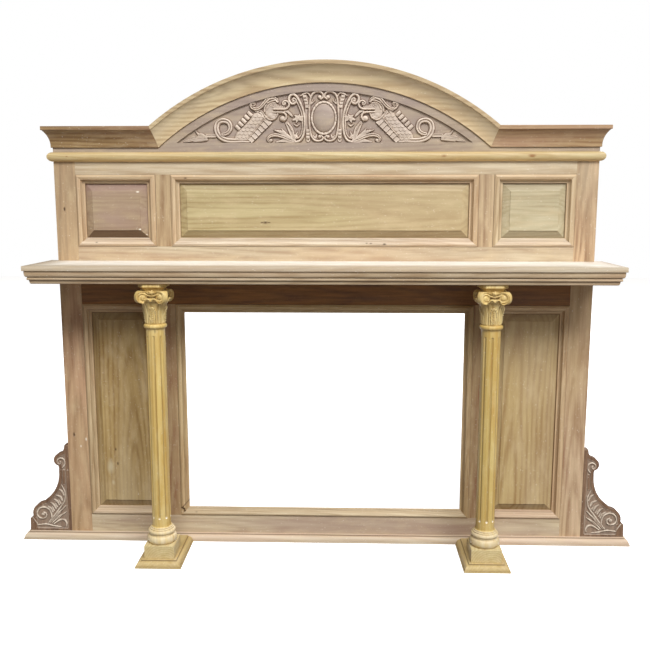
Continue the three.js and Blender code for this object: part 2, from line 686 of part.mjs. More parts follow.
const columnFoot = mouldedSlab(footWidth / 2, -footFrontReach, columnProjection - baseBoardProjection - openJoint, 0,
  ovoloSection(footHeight, footMouldInset));
const columnDie = new THREE.BoxGeometry(dieWidth, dieWidth, dieHeight - openJoint);
columnDie.translate(0, 0, footHeight + openJoint + (dieHeight - openJoint) / 2);
const columnShaft = shaftGeometry().translate(0, 0, shaftBottom);
const columnCapital = capitalGeometry().translate(0, 0, shaftTop + openJoint);
for (const [side, sign] of [['left', -1], ['right', 1]]) {
  const parts = { foot: columnFoot, die: columnDie, shaft: columnShaft, capital: columnCapital };
  for (const [part, geometry] of Object.entries(parts)) {
    addPiece(`${side}_column_${part}`, geometry, columnWood).position.set(sign * columnSpacing / 2, columnAxis, 0);
  }
}

// Side brackets, drawn on a sheet outwards from the frame's side and upwards from the base board, 182 out and 383 up,
// and fitted to their size

const bracketUnit = [bracketReach / 182, bracketHeight / 383];
const lowerEye = [123, 74];
const upperEye = [37, 311];

function bracketOutline(place) {
  const shape = new THREE.Shape();
  const line = (x, z) => shape.lineTo(...place([x, z]));
  shape.moveTo(...place([0, 0]));
  line(182, 0);
  line(180, 54);
  line(174, 60);
  for (let k = 0; k <= 7; k += 1) {
    const turn = THREE.MathUtils.degToRad(-12 + 15 * k);
    line(lowerEye[0] + 43.5 * Math.cos(turn), lowerEye[1] + (43.5 + k * 0.8) * Math.sin(turn));
  }
  line(121, 129);
  shape.bezierCurveTo(...place([90, 152]), ...place([50, 185]), ...place([45, 250]));
  line(44, 284);
  for (let k = 0; k <= 8; k += 1) {
    const turn = THREE.MathUtils.degToRad(-64 + 18.5 * k);
    const radius = 21 + 14 * k / 8;
    line(upperEye[0] + radius * Math.cos(turn), upperEye[1] + radius * Math.sin(turn));
  }
  shape.quadraticCurveTo(...place([21, 357]), ...place([16, 383]));
  line(0, 383);
  return shape;
}

function bracketGeometry(sign) {
  const place = ([x, z]) => [sign * (halfFrame + halfJoint + x * bracketUnit[0]), z * bracketUnit[1]];
  const bottom = lowerBottom + halfJoint;
  const raise = (points) => points.map(place).map(([x, z]) => [x, z + bottom]);
  const stroke = (points, count, widths, crest = 1, flat = 0) => ridge(raise(curveThrough(points, count)), widths,
    bracketRelief * crest, face, flat);
  const curl = (centre, outer, inner, start, turns, count, widths) => ridge(
    raise(scroll(centre, outer, inner, start, turns, count)), widths, bracketRelief, face);
  return toGeometry(joined([
    upright(bracketOutline(place), face, face + bracketThickness, bottom, 5),
    curl(lowerEye, 33, 7, 0.3, -1.3, 12, [6, 5, 4]),
    curl(upperEye, 21, 5, 0.45, -1.2, 8, [4, 4, 3]),
    stroke([[112, 126], [80, 152], [50, 190], [37, 250], [36, 284]], 5, [7, 6, 5], 1, 0.6),
    stroke([[96, 30], [66, 62], [38, 110], [24, 190]], 4, [5, 8, 2], 1.2),
    stroke([[92, 34], [84, 84], [66, 118], [50, 152]], 4, [4, 7, 2], 1.1),
    stroke([[90, 26], [56, 44], [24, 78]], 3, [4, 7, 2]),
    stroke([[92, 20], [58, 26], [22, 46]], 3, [4, 7, 2]),
    stroke([[128, 18], [80, 15], [20, 16]], 2, [3, 5, 4], 0.8),
  ]));
}

addPiece('left_bracket', bracketGeometry(-1), bracketWood);
addPiece('right_bracket', bracketGeometry(1), bracketWood);

export default mantelpiece;
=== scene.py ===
"""A fireplace mantelpiece with an overmantel in bare timber: the look of each piece, in the order of assembly.

Metres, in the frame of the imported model: X to the right, Y from the viewer to the wall, Z up from the floor.
"""
import math

import bpy
import numpy as np
from mathutils import Euler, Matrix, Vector


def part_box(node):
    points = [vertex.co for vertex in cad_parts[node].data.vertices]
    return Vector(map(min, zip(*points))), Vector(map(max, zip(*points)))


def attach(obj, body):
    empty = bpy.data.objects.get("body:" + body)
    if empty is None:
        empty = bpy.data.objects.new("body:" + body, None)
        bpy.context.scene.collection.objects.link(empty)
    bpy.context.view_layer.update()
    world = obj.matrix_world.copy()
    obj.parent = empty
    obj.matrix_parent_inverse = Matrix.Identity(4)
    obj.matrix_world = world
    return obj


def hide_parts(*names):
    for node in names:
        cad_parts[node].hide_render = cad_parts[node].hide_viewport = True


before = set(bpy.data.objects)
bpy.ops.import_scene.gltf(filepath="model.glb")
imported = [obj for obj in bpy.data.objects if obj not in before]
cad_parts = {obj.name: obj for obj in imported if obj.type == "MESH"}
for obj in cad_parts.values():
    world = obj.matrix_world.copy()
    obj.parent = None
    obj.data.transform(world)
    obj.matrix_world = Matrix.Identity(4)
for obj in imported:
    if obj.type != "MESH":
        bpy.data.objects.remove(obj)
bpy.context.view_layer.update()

# Base board
# A pale hardwood board with an ovolo between two fillets planed along its front and both ends. It lies on the
# floor, and the lower frame stands on it.

MM = 0.001


def linear(red, green, blue):
    """Linear light of a screen tone of 0 to 255, with the alpha that sockets want."""
    share = np.array([red, green, blue]) / 255
    light = np.where(share <= 0.04045, share / 12.92, ((share + 0.055) / 1.055) ** 2.4)
    return (*light.tolist(), 1.0)


def put(tree, kind, inputs=None, **settings):
    """Adds a shader node: first its settings, then a value or a link for each input that is named."""
    made = tree.nodes.new("ShaderNode" + kind)
    for setting, value in settings.items():
        setattr(made, setting, value)
    for socket, value in (inputs or {}).items():
        if isinstance(value, bpy.types.NodeSocket):
            tree.links.new(value, made.inputs[socket])
        else:
            made.inputs[socket].default_value = value
    return made


def blend_tones(tree, share, under, over):
    """The colour that lies that share of the way from one colour to another."""
    mix = put(tree, "Mix", {0: share, 6: under, 7: over}, data_type="RGBA")
    return mix.outputs[2]


def stretched_noise(tree, coords, stretch, shift=0.0, detail=3.0, rough=0.55):
    """Noise of about 0.2 to 0.8, with that many cells to a metre along the grain, in depth and across."""
    place = put(tree, "Mapping", {"Vector": coords, "Location": (shift, shift * 0.7, -shift), "Scale": stretch})
    noise = put(tree, "TexNoise", {"Vector": place.outputs[0], "Scale": 1.0, "Detail": detail, "Roughness": rough})
    return noise.outputs["Fac"]


def scaled(tree, value, low, high, start=0.0, end=1.0):
    """The value carried from low..high to start..end and held there."""
    made = put(tree, "MapRange", {"Value": value, "From Min": low, "From Max": high, "To Min": start, "To Max": end})
    return made.outputs[0]


def bare_timber(name, centre, pale, dark, along="X", ring=13 * MM, pith=(0.09, 0.02), askew=(0.6, 2.5), figure=0.5,
                streak=0.5, blotch=0.5, tint=None, tint_share=0.0, spots=(), seed=0.0, roughness=0.62,
                film=linear(212, 188, 148), dust=linear(236, 226, 206), painted_shade=linear(76, 46, 20)):
    """Bare timber, planed and sanded.

    Growth rings are cylinders round the trunk's axis. The axis passes the board's centre at the distance pith, in
    depth and across, and is askew to the board by two angles in degrees, so that a flat face cuts the rings in
    long arches. Streaks and wider bands are noises drawn out along the grain and blotches a slow one; all are added
    in the shares given, and their sum runs from the pale to the dark tone. A tint comes and goes slowly, a thin pale
    film and flecks of sanding dust lie in patches, and spots are knots, nail holes and chips, each a place, a radius
    and a tone whose alpha is its share, drawn out along the grain. A piece's mark dust lays pale dust, patchy along
    the grain; on the nosing rail's underside, the arch's cove and the back of the shelf top it also paints light.
    Its mark shade blends towards the last, darkest tone: painted shade in corners, quirks and hollows, and on a few
    pieces also the darker wood itself, as noted there.
    """
    made = bpy.data.materials.new(name)
    made.use_nodes = True
    tree = made.node_tree
    tree.nodes.clear()
    spot = put(tree, "TexCoord").outputs["Object"]
    quarter = {"X": (0, 0, 0), "Z": (0, 90, 0), "Y": (0, 0, -90)}[along]
    turn = Euler([math.radians(a + b) for a, b in zip(quarter, (0, askew[0], askew[1]))])
    offset = Vector((seed * 3.7, pith[0], pith[1])) - turn.to_matrix() @ Vector(centre)
    grain = put(tree, "Mapping", {"Vector": spot, "Location": offset, "Rotation": turn}).outputs[0]

    slow = put(tree, "Mapping", {"Vector": grain, "Scale": (1.1, 4.5, 4.5)}).outputs[0]
    sway = put(tree, "TexNoise", {"Vector": slow, "Scale": 1.0, "Detail": 2.0}).outputs["Color"]
    sway = put(tree, "VectorMath", {0: sway, 1: (0.5, 0.5, 0.5)}, operation="SUBTRACT").outputs[0]
    sway = put(tree, "VectorMath", {0: sway, "Scale": 0.05}, operation="SCALE").outputs[0]
    bent = put(tree, "VectorMath", {0: grain, 1: sway}, operation="ADD").outputs[0]
    rings = put(tree, "TexWave", {"Vector": bent, "Scale": 0.314 / ring, "Distortion": 1.4, "Detail": 2.0,
                                  "Detail Scale": 0.25, "Detail Roughness": 0.6},
                wave_type="RINGS", rings_direction="X").outputs["Fac"]
    late_wood = put(tree, "Math", {0: rings, 1: 1.8}, operation="POWER").outputs[0]

    streaks = stretched_noise(tree, grain, (2.6, 150, 150), seed, 4.0, 0.65)
    bands = stretched_noise(tree, bent, (1.1, 34, 34), seed + 3, 3.0, 0.6)
    blotches = stretched_noise(tree, grain, (1.8, 9, 9), seed + 5, 3.0)
    pores = stretched_noise(tree, grain, (55, 1300, 1300), seed + 9, 1.0)
    total = put(tree, "Math", {0: late_wood, 1: figure, 2: 0.0}, operation="MULTIPLY_ADD").outputs[0]
    total = put(tree, "Math", {0: streaks, 1: streak * 1.8, 2: total}, operation="MULTIPLY_ADD").outputs[0]
    total = put(tree, "Math", {0: bands, 1: streak * 3.0, 2: total}, operation="MULTIPLY_ADD").outputs[0]
    total = put(tree, "Math", {0: blotches, 1: blotch * 1.8, 2: total}, operation="MULTIPLY_ADD").outputs[0]
    middle = figure * 0.38 + 2.4 * streak + 0.9 * blotch
    depth = scaled(tree, total, middle - 0.55, middle + 0.55)
    colour = blend_tones(tree, depth, pale, dark)
    if tint:
        coming = scaled(tree, stretched_noise(tree, grain, (1.0, 5.5, 5.5), seed + 13, 2.0), 0.42, 0.6, 0, tint_share)
        colour = blend_tones(tree, coming, colour, tint)
    colour = blend_tones(tree, scaled(tree, pores, 0.62, 0.75, 0.0, 0.25), colour, dark)
    mottle = stretched_noise(tree, grain, (9, 26, 26), seed + 21, 3.0, 0.6)
    colour = blend_tones(tree, scaled(tree, mottle, 0.48, 0.74, 0.0, 0.34), colour, film)
    flecks = stretched_noise(tree, grain, (130, 260, 260), seed + 25, 1.0)
    colour = blend_tones(tree, scaled(tree, flecks, 0.7, 0.76, 0.0, 0.5), colour, dust)
    for place, radius, tone in spots:
        away = put(tree, "VectorMath", {0: spot, 1: Vector(place)}, operation="SUBTRACT").outputs[0]
        away = put(tree, "VectorMath", {0: away, 1: [0.5 if axis == along else 1 for axis in "XYZ"]},
                   operation="MULTIPLY").outputs[0]
        away = put(tree, "VectorMath", {0: away}, operation="LENGTH").outputs["Value"]
        uneven = put(tree, "Math", {0: mottle, 1: radius * 2.4, 2: away}, operation="MULTIPLY_ADD").outputs[0]
        colour = blend_tones(tree, scaled(tree, uneven, radius * 1.4, radius * 2.4, 0.9 * tone[3], 0.0), colour, tone)
    # Painted shade: the mark shade blends the colour towards the last, darkest tone.
    shade = put(tree, "Attribute", attribute_name="shade").outputs["Fac"]
    colour = blend_tones(tree, shade, colour, painted_shade)
    # Pale dust, patchy along the grain; on the rail's underside, the arch's cove and the shelf's back this mark also
    # paints light.
    powder = put(tree, "Attribute", attribute_name="dust").outputs["Fac"]
    patchy = scaled(tree, stretched_noise(tree, grain, (10, 60, 60), seed + 17, 2.0), 0.3, 0.6, 0.5, 1.0)
    powder = put(tree, "Math", {0: powder, 1: patchy}, operation="MULTIPLY").outputs[0]
    colour = blend_tones(tree, powder, colour, dust)

    relief = put(tree, "Math", {0: streaks, 1: 0.7, 2: late_wood}, operation="MULTIPLY_ADD").outputs[0]
    relief = put(tree, "Math", {0: pores, 1: -0.6, 2: relief}, operation="MULTIPLY_ADD").outputs[0]
    bump = put(tree, "Bump", {"Height": relief, "Strength": 0.3, "Distance": 0.4 * MM}).outputs[0]
    matt = scaled(tree, streaks, 0.3, 0.7, roughness - 0.06, roughness + 0.08)
    surface = put(tree, "BsdfPrincipled", {"Base Color": colour, "Roughness": matt, "Normal": bump,
                                           "Specular IOR Level": 0.35})
    out = put(tree, "OutputMaterial")
    tree.links.new(surface.outputs[0], out.inputs[0])
    return made


def wooden_piece(name, points, faces, timber, slot, *nodes, crease=30, **marks):
    """Makes a piece from computed points and faces, in place of CAD nodes: faces turned outwards by the sign of the
    volume, edges sharp where they turn by more than the crease angle, and one number per point for each mark."""
    mesh = bpy.data.meshes.new(name)
    mesh.from_pydata(points.tolist(), [], faces)
    for mark, values in marks.items():
        kept = mesh.attributes.new(mark, "FLOAT", "POINT")
        kept.data.foreach_set("value", np.ascontiguousarray(values, dtype=np.float32).ravel())
    mesh.calc_loop_triangles()
    corners = np.empty(3 * len(mesh.loop_triangles), dtype=np.int32)
    mesh.loop_triangles.foreach_get("vertices", corners)
    a, b, c = points[corners.reshape(-1, 3)].transpose(1, 0, 2)
    if np.einsum("ij,ij->", a, np.cross(b, c)) < 0:
        mesh.flip_normals()
    mesh.shade_smooth()
    mesh.set_sharp_from_angle(angle=math.radians(crease))
    mesh.materials.append(timber)
    made = bpy.data.objects.new(name, mesh)
    bpy.context.scene.collection.objects.link(made)
    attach(made, "root")
    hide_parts(*nodes)


def carried(stations):
    """Points and faces of a closed profile carried through stations, an array of station, point and coordinate:
    quads between neighbouring stations, and one flat face over each end."""
    count, around, _ = stations.shape
    index = np.arange(count * around).reshape(count, around)
    here, there = index[:-1], index[1:]
    quads = np.stack([here, np.roll(here, -1, 1), np.roll(there, -1, 1), there], -1).reshape(-1, 4)
    ends = [index[0, ::-1].tolist(), index[-1].tolist()]
    return stations.reshape(-1, 3), quads.tolist() + ends


def quirk_shade(section, depth=0.6):
    """A mark for painted shade in the hollow corners of a section: the sine of the turn at each corner, where it is
    inward.
    """
    step = np.diff(np.vstack([section[:1], section, section[-1:]]), axis=0)
    step /= np.maximum(np.linalg.norm(step, axis=1), 1e-9)[:, None]
    inward = step[:-1, 0] * step[1:, 1] - step[:-1, 1] * step[1:, 0]
    around = np.sign(np.sum(inward))
    return depth * np.clip(-around * inward * 1.4, 0, 1)


def moulded_slab(node, section, all_round=False):
    """A slab of a CAD node's size with a section of [inset, height] worked along its front and ends, or all round:
    each height carries the slab's rectangle, drawn in by the inset."""
    low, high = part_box(node)
    inset, height = np.array(section).T
    left, right = low.x + inset, high.x - inset
    front, rear = low.y + inset, high.y - inset * all_round
    ring = [(left, rear), (right, rear), (right, front), (left, front)]
    return carried(np.stack([np.stack([x, y, low.z + height], -1) for x, y in ring], 1))


def ovolo_edge(height, inset):
    """A square fillet, a small step, a quarter of an ellipse that rises and falls back, a step and a top fillet."""
    fillet, top_fillet, step, quirk, arris = 0.24 * height, 0.14 * height, 0.14 * inset, 0.6 * MM, 0.5 * MM
    turn = np.linspace(0, math.pi / 2, 12)
    rise = height - fillet - top_fillet - 2 * quirk
    curve = np.stack([step + (inset - 2 * step) * (1 - np.cos(turn)), fillet + quirk + rise * np.sin(turn)], -1)
    return [(arris, 0), (0, arris), (0, fillet - arris), (arris, fillet), (step, fillet), *curve,
            (inset - arris, height - top_fillet), (inset, height - top_fillet + arris), (inset, height - arris),
            (inset + arris, height)]


base_low, base_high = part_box("base_board")
base_timber = bare_timber("base_board_timber", (0, base_low.y, 0.02), linear(218, 206, 178), linear(180, 158, 130),
                          tint=linear(208, 172, 146), tint_share=0.5, figure=0.3, seed=1)
base_section = np.array(ovolo_edge(base_high.z, 19 * MM))
# The mark shade paints shade into the hollow corners of the ovolo and its fillets.
wooden_piece("moulded_base_board", *moulded_slab("base_board", base_section), base_timber, "base_wood", "base_board",
             shade=np.repeat(quirk_shade(base_section, 0.8), 4))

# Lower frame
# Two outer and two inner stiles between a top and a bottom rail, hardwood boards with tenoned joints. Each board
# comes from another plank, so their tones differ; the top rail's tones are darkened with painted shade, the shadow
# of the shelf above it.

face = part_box("lower_top_rail")[0].y


def dress(node, timber):
    """Gives a CAD node's object its timber."""
    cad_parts[node].material_slots[0].material = timber


def board_timber(node, pale, dark, **grain):
    """Dresses a frame board, with the grain along its longer side."""
    low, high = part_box(node)
    along = "X" if high.x - low.x > high.z - low.z else "Z"
    dress(node, bare_timber(node + "_timber", (low + high) / 2, pale, dark, along=along, streak=0.75, **grain))


PINK_TAN = linear(196, 158, 122)
ROSE_BROWN = linear(142, 102, 72)
PALE_SAND = linear(218, 200, 166)
SAND = linear(180, 152, 110)
MAUVE = linear(160, 130, 116)
KNOT = linear(66, 40, 20)
CHIP = linear(246, 236, 214)

board_timber("lower_left_outer_stile", PINK_TAN, ROSE_BROWN, figure=0.6, tint=SAND, tint_share=0.5, seed=2,
             spots=[((-1.061, face, 0.461), 5 * MM, KNOT), ((-1.034, face, 0.411), 3 * MM, CHIP),
                    ((-1.010, face, 0.442), 4 * MM, CHIP)])
board_timber("lower_right_outer_stile", linear(202, 172, 138), linear(148, 112, 82), figure=0.5, tint=SAND,
             tint_share=0.7, seed=3)
board_timber("lower_left_inner_stile", SAND, ROSE_BROWN, figure=0.4, seed=4)
board_timber("lower_right_inner_stile", SAND, ROSE_BROWN, figure=0.4, seed=5)
board_timber("lower_bottom_rail", linear(214, 196, 162), linear(176, 152, 122), figure=0.35, tint=MAUVE,
             tint_share=0.6, seed=6)
# Painted shade: the top rail's tones, film and dust are darkened for the shadow under the shelf.
board_timber("lower_top_rail", linear(124, 79, 28), linear(76, 42, 8), figure=0.4, seed=7,
             film=linear(140, 96, 38), dust=linear(140, 100, 56))

# Lower panels
# Raised and fielded panels of olive-brown figured hardwood: a tongue, a broad bevel, a small shoulder and a flat
# field level with the frame. They are held in the frame's opening by the mouldings.

JOINT_GAP = 0.3 * MM
MOULDING_WIDTH = 35 * MM - JOINT_GAP
PANEL_TONGUE = 16 * MM
PANEL_BEVEL = 30 * MM
BEVEL_FOOT = 4 * MM
BEVEL_RISE = 13.5 * MM
SHOULDER = 2.5 * MM


def fielded_panel(node, name, timber, below=0.3):
    """Rectangles from the back to the field: each ring is drawn in from the panel's edge by an inset, at a depth.
    Each ring has its mark shade at the bottom, right, top and left: painted shade deep in the quirk under the
    moulding, on the top bevel under the moulding and under the field's lower shoulder, and a darker bottom bevel by
    the share below, partly painted shade of the downward bevel and, on the upper left panel, its darker wood."""
    low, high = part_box(node)
    shoulder = MOULDING_WIDTH + PANEL_BEVEL
    tongue = face + PANEL_TONGUE
    top = tongue - BEVEL_RISE
    rings = [(0, high.y), (0, tongue), (MOULDING_WIDTH, tongue),
             (MOULDING_WIDTH + BEVEL_FOOT, tongue - BEVEL_RISE * BEVEL_FOOT / PANEL_BEVEL), (shoulder, top),
             (shoulder + 0.2 * MM, top - SHOULDER + 0.6 * MM), (shoulder + 0.8 * MM, top - SHOULDER)]
    inset, depth = np.array(rings).T
    left, right, bottom, upper = low.x + inset, high.x - inset, low.z + inset, high.z - inset
    corner = 0.6 * MM
    ring = [(left + corner, bottom), (right - corner, bottom), (right, bottom + corner), (right, upper - corner),
            (right - corner, upper), (left + corner, upper), (left, upper - corner), (left, bottom + corner)]
    stations = np.stack([np.stack([x, depth, z], -1) for x, z in ring], 1)
    # Painted shade: the quirk under the moulding darkest at the top and right, a fading band on the top bevel, a line
    # under the field's lower shoulder, and the bottom bevel darker by below.
    shade = np.repeat([(0, 0, 0, 0), (0, 0, 0, 0), (below, 0.85, 1, 0.6), (below, 0.1, 0.3, 0.1), (below, 0, 0.1, 0),
                       (0.6, 0.1, 0.1, 0.1), (0, 0, 0, 0)], 2, axis=1)
    wooden_piece(name, *carried(stations), timber, "panel_wood", node, crease=12, shade=shade)


def panel_centre(node):
    """The middle of a panel's face."""
    low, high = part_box(node)
    return ((low.x + high.x) / 2, face, (low.z + high.z) / 2)


FILLED = (*linear(206, 192, 160)[:3], 0.6)
fielded_panel("lower_left_panel", "lower_left_fielded_panel", bare_timber(
    "lower_left_panel_timber", panel_centre("lower_left_panel"), linear(180, 151, 98), linear(132, 100, 54),
    along="Z", ring=16 * MM, pith=(0.03, 0.03), askew=(1.0, 4.5), figure=0.45, streak=0.32, blotch=0.9,
    tint=linear(190, 168, 130), tint_share=0.6, seed=8,
    spots=[((-0.909, face, 0.322), 17 * MM, FILLED), ((-0.902, face, 0.251), 7 * MM, FILLED),
           ((-0.885, face, 0.398), 4 * MM, KNOT), ((-0.879, face, 0.336), 4 * MM, KNOT)]))
fielded_panel("lower_right_panel", "lower_right_fielded_panel", bare_timber(
    "lower_right_panel_timber", panel_centre("lower_right_panel"), linear(210, 185, 129), linear(149, 115, 65),
    along="Z", ring=18 * MM, pith=(0.05, -0.05), askew=(-0.8, 3.0), figure=0.4, streak=0.32, blotch=0.9,
    tint=linear(178, 152, 118), tint_share=0.5, seed=9))

# Mouldings of the lower frame
# Lengths of one bolection moulding, mitred at the corners and nailed round each panel and round the fire opening:
# a fillet at the sight edge, a cove, a sloping face up to the arris, and a rounded outer edge on the frame.


def moulding_section():
    """[distance out from the sight edge, height above the frame's face]: the cove is an elliptic arc that starts
    flat and ends steep, and the face and the outer edge are slopes with a slight crown."""
    seat, sight, proud = JOINT_GAP - PANEL_TONGUE, -8 * MM, 8 * MM
    slope_start, slope_foot = 15.6 * MM, 5.6 * MM
    edge_start, edge_foot = 25.8 * MM, 1.2 * MM
    turn = np.linspace(0, math.radians(82), 8)
    cove = np.stack([5 * MM + 10 * MM * np.sin(turn), sight + 15.2 * MM * (1 - np.cos(turn))], -1)
    share = np.linspace(0.06, 1, 6)
    slope = np.stack([slope_start + 9.8 * MM * share, slope_foot + (proud - slope_foot) * share
                      + 0.3 * MM * np.sin(math.pi * share)], -1)
    share = np.linspace(0.05, 1, 7)
    outer = np.stack([edge_start + (MOULDING_WIDTH - edge_start) * share, proud - (proud - edge_foot) * share
                      + 0.7 * MM * np.sin(math.pi * share)], -1)
    return np.array([(0, seat), (0, sight - 0.4 * MM), (0.5 * MM, sight), (4.6 * MM, sight), *cove, *slope, *outer,
                     (MOULDING_WIDTH, seat)])


def mitred_moulding(opening, side, timber, break_steps=()):
    """The section carried along one side of an opening. Its half length grows with the distance from the sight
    edge, which makes the mitres. With break steps, distances from its first end, the outer half is broken off there
    down to the frame along a ragged line."""
    node = f"{opening}_moulding_{side}"
    low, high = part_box(node)
    level = side in ("top", "bottom")
    outward = 1 if side in ("top", "right") else -1
    out_axis, long_axis = (2, 0) if level else (0, 2)
    sight = low[out_axis] if outward > 0 else high[out_axis]
    section = moulding_section()
    out, height = section.T
    middle = (low[long_axis] + high[long_axis]) / 2
    half = (high[long_axis] - low[long_axis]) / 2 - out.max() + out
    from_end = np.array([0, *break_steps, 0]) * MM
    stations = np.zeros((len(from_end), len(out), 3))
    stations[:, :, 1] = face - height
    stations[:, :, out_axis] = sight + outward * out
    stations[:, :, long_axis] = middle - half + from_end[:, None]
    stations[-1, :, long_axis] = middle + half
    # Painted shade in the hollow corners of the section and in a line along the outer edge, where the moulding meets
    # the frame.
    shade = np.tile(quirk_shade(section, 0.7), (len(from_end), 1))
    shade[:, -2:] = 0.8
    if break_steps:
        limit = np.interp(from_end, np.array([0, 8, 14, 22, 27, 32]) * MM, np.array([13, 18, 17, 24, 22, 36]) * MM)
        gone = out[None, :] > limit[:, None]
        gone[-1] = False
        gone &= height > 0
        stations[:, :, 1] = np.where(gone, face - 0.4 * MM, stations[:, :, 1])
        shade = np.maximum(shade, 0.8 * (gone & (out[None, :] < limit[:, None] + 7 * MM)))
        shade[(from_end > 26 * MM) & (from_end < 34 * MM)] = 0.7
    wooden_piece(f"{opening}_bolection_{side}", *carried(stations), timber, "frame_wood", node, crease=24, shade=shade)


def moulding_round(opening, pale, dark, seed, holes=()):
    """Four lengths round an opening, each from its own stick, the bottom one paler, with nail holes at places across
    and up. Screen tones are given, and the left length of the fire opening has its broken mitre."""
    for number, side in enumerate(("top", "right", "bottom", "left")):
        low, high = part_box(f"{opening}_moulding_{side}")
        lift = np.array((14, 20, 30)) * (side == "bottom")
        nails = [((x, face - 8 * MM, z), 3.2 * MM, KNOT) for x, z in holes
                 if low.x < x < high.x and low.z < z < high.z]
        broken = (6, 10, 14, 18, 22, 26, 29, 32, 36) if (opening, side) == ("fire_opening", "left") else ()
        mitred_moulding(opening, side, bare_timber(
            f"{opening}_moulding_{side}_timber", (low + high) / 2, linear(*(lift + pale)), linear(*(lift + dark)),
            along="X" if side in ("top", "bottom") else "Z", ring=9 * MM, pith=(0.05, 0.03), figure=0.35,
            blotch=0.4, tint=PINK_TAN, tint_share=0.3, seed=seed + number * 0.37, spots=nails), broken)


moulding_round("lower_left", (206, 182, 142), (154, 122, 84), 10, [(-0.970, 0.101)])
moulding_round("lower_right", (208, 178, 138), (156, 122, 86), 11)
moulding_round("fire_opening", (210, 184, 138), (156, 124, 80), 12, [(-0.545, 0.126)])

# Column feet and dies
# Each column stands on a square die of yellowish timber on a long moulded foot, whose front and sides carry the
# same ovolo as the base board. The foot runs back to the base board.

FOOT_TONES = linear(204, 180, 122), linear(170, 138, 78)
DIE_TONES = linear(218, 200, 150), linear(184, 156, 100)
for side in ("left", "right"):
    for part, title in (("foot", "moulded_foot"), ("die", "square_die")):
        node = f"{side}_column_{part}"
        low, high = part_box(node)
        tall = high.z - low.z
        arris = 0.8 * MM
        section = ovolo_edge(tall, 22 * MM) if part == "foot" else [
            (arris, 0), (0, arris), (0, tall - arris), (arris, tall)]
        timber = bare_timber(node + "_timber", (low + high) / 2, *(FOOT_TONES if part == "foot" else DIE_TONES),
                             along="Y", ring=9 * MM, pith=(0.02, 0.05), figure=0.4, tint=linear(194, 168, 118),
                             tint_share=0.5, seed=len(node) + (side == "left"))
        # The mark shade paints shade into the hollow corners of the ovolo.
        wooden_piece(f"{side}_{title}", *moulded_slab(node, section, all_round=part == "die"), timber,
                     "column_wood", node, shade=np.repeat(quirk_shade(np.array(section), 0.8), 4))

# Column shafts
# Turned from warm yellow timber: two tori and two rings at the base, a straight shaft with eight stopped flutes,
# and a ring under the capital. Sanding dust has stayed on the base and at the lower ends of the flutes.

BASE_TALL = 67 * MM
NECK_RING_TALL = 17 * MM
SHAFT_RADIUS = 37 * MM
FLUTE_RADIUS = 5.5 * MM
FLUTE_DEPTH = 3.4 * MM
FLUTES = 8


def turned_ring(radius, bottom, height, bulge, steps):
    """Half an ellipse that stands out by the bulge, as radius and height."""
    turn = np.linspace(-math.pi / 2, math.pi / 2, steps)
    return np.stack([radius - bulge * (1 - np.cos(turn)), bottom + height * (1 + np.sin(turn)) / 2], -1)


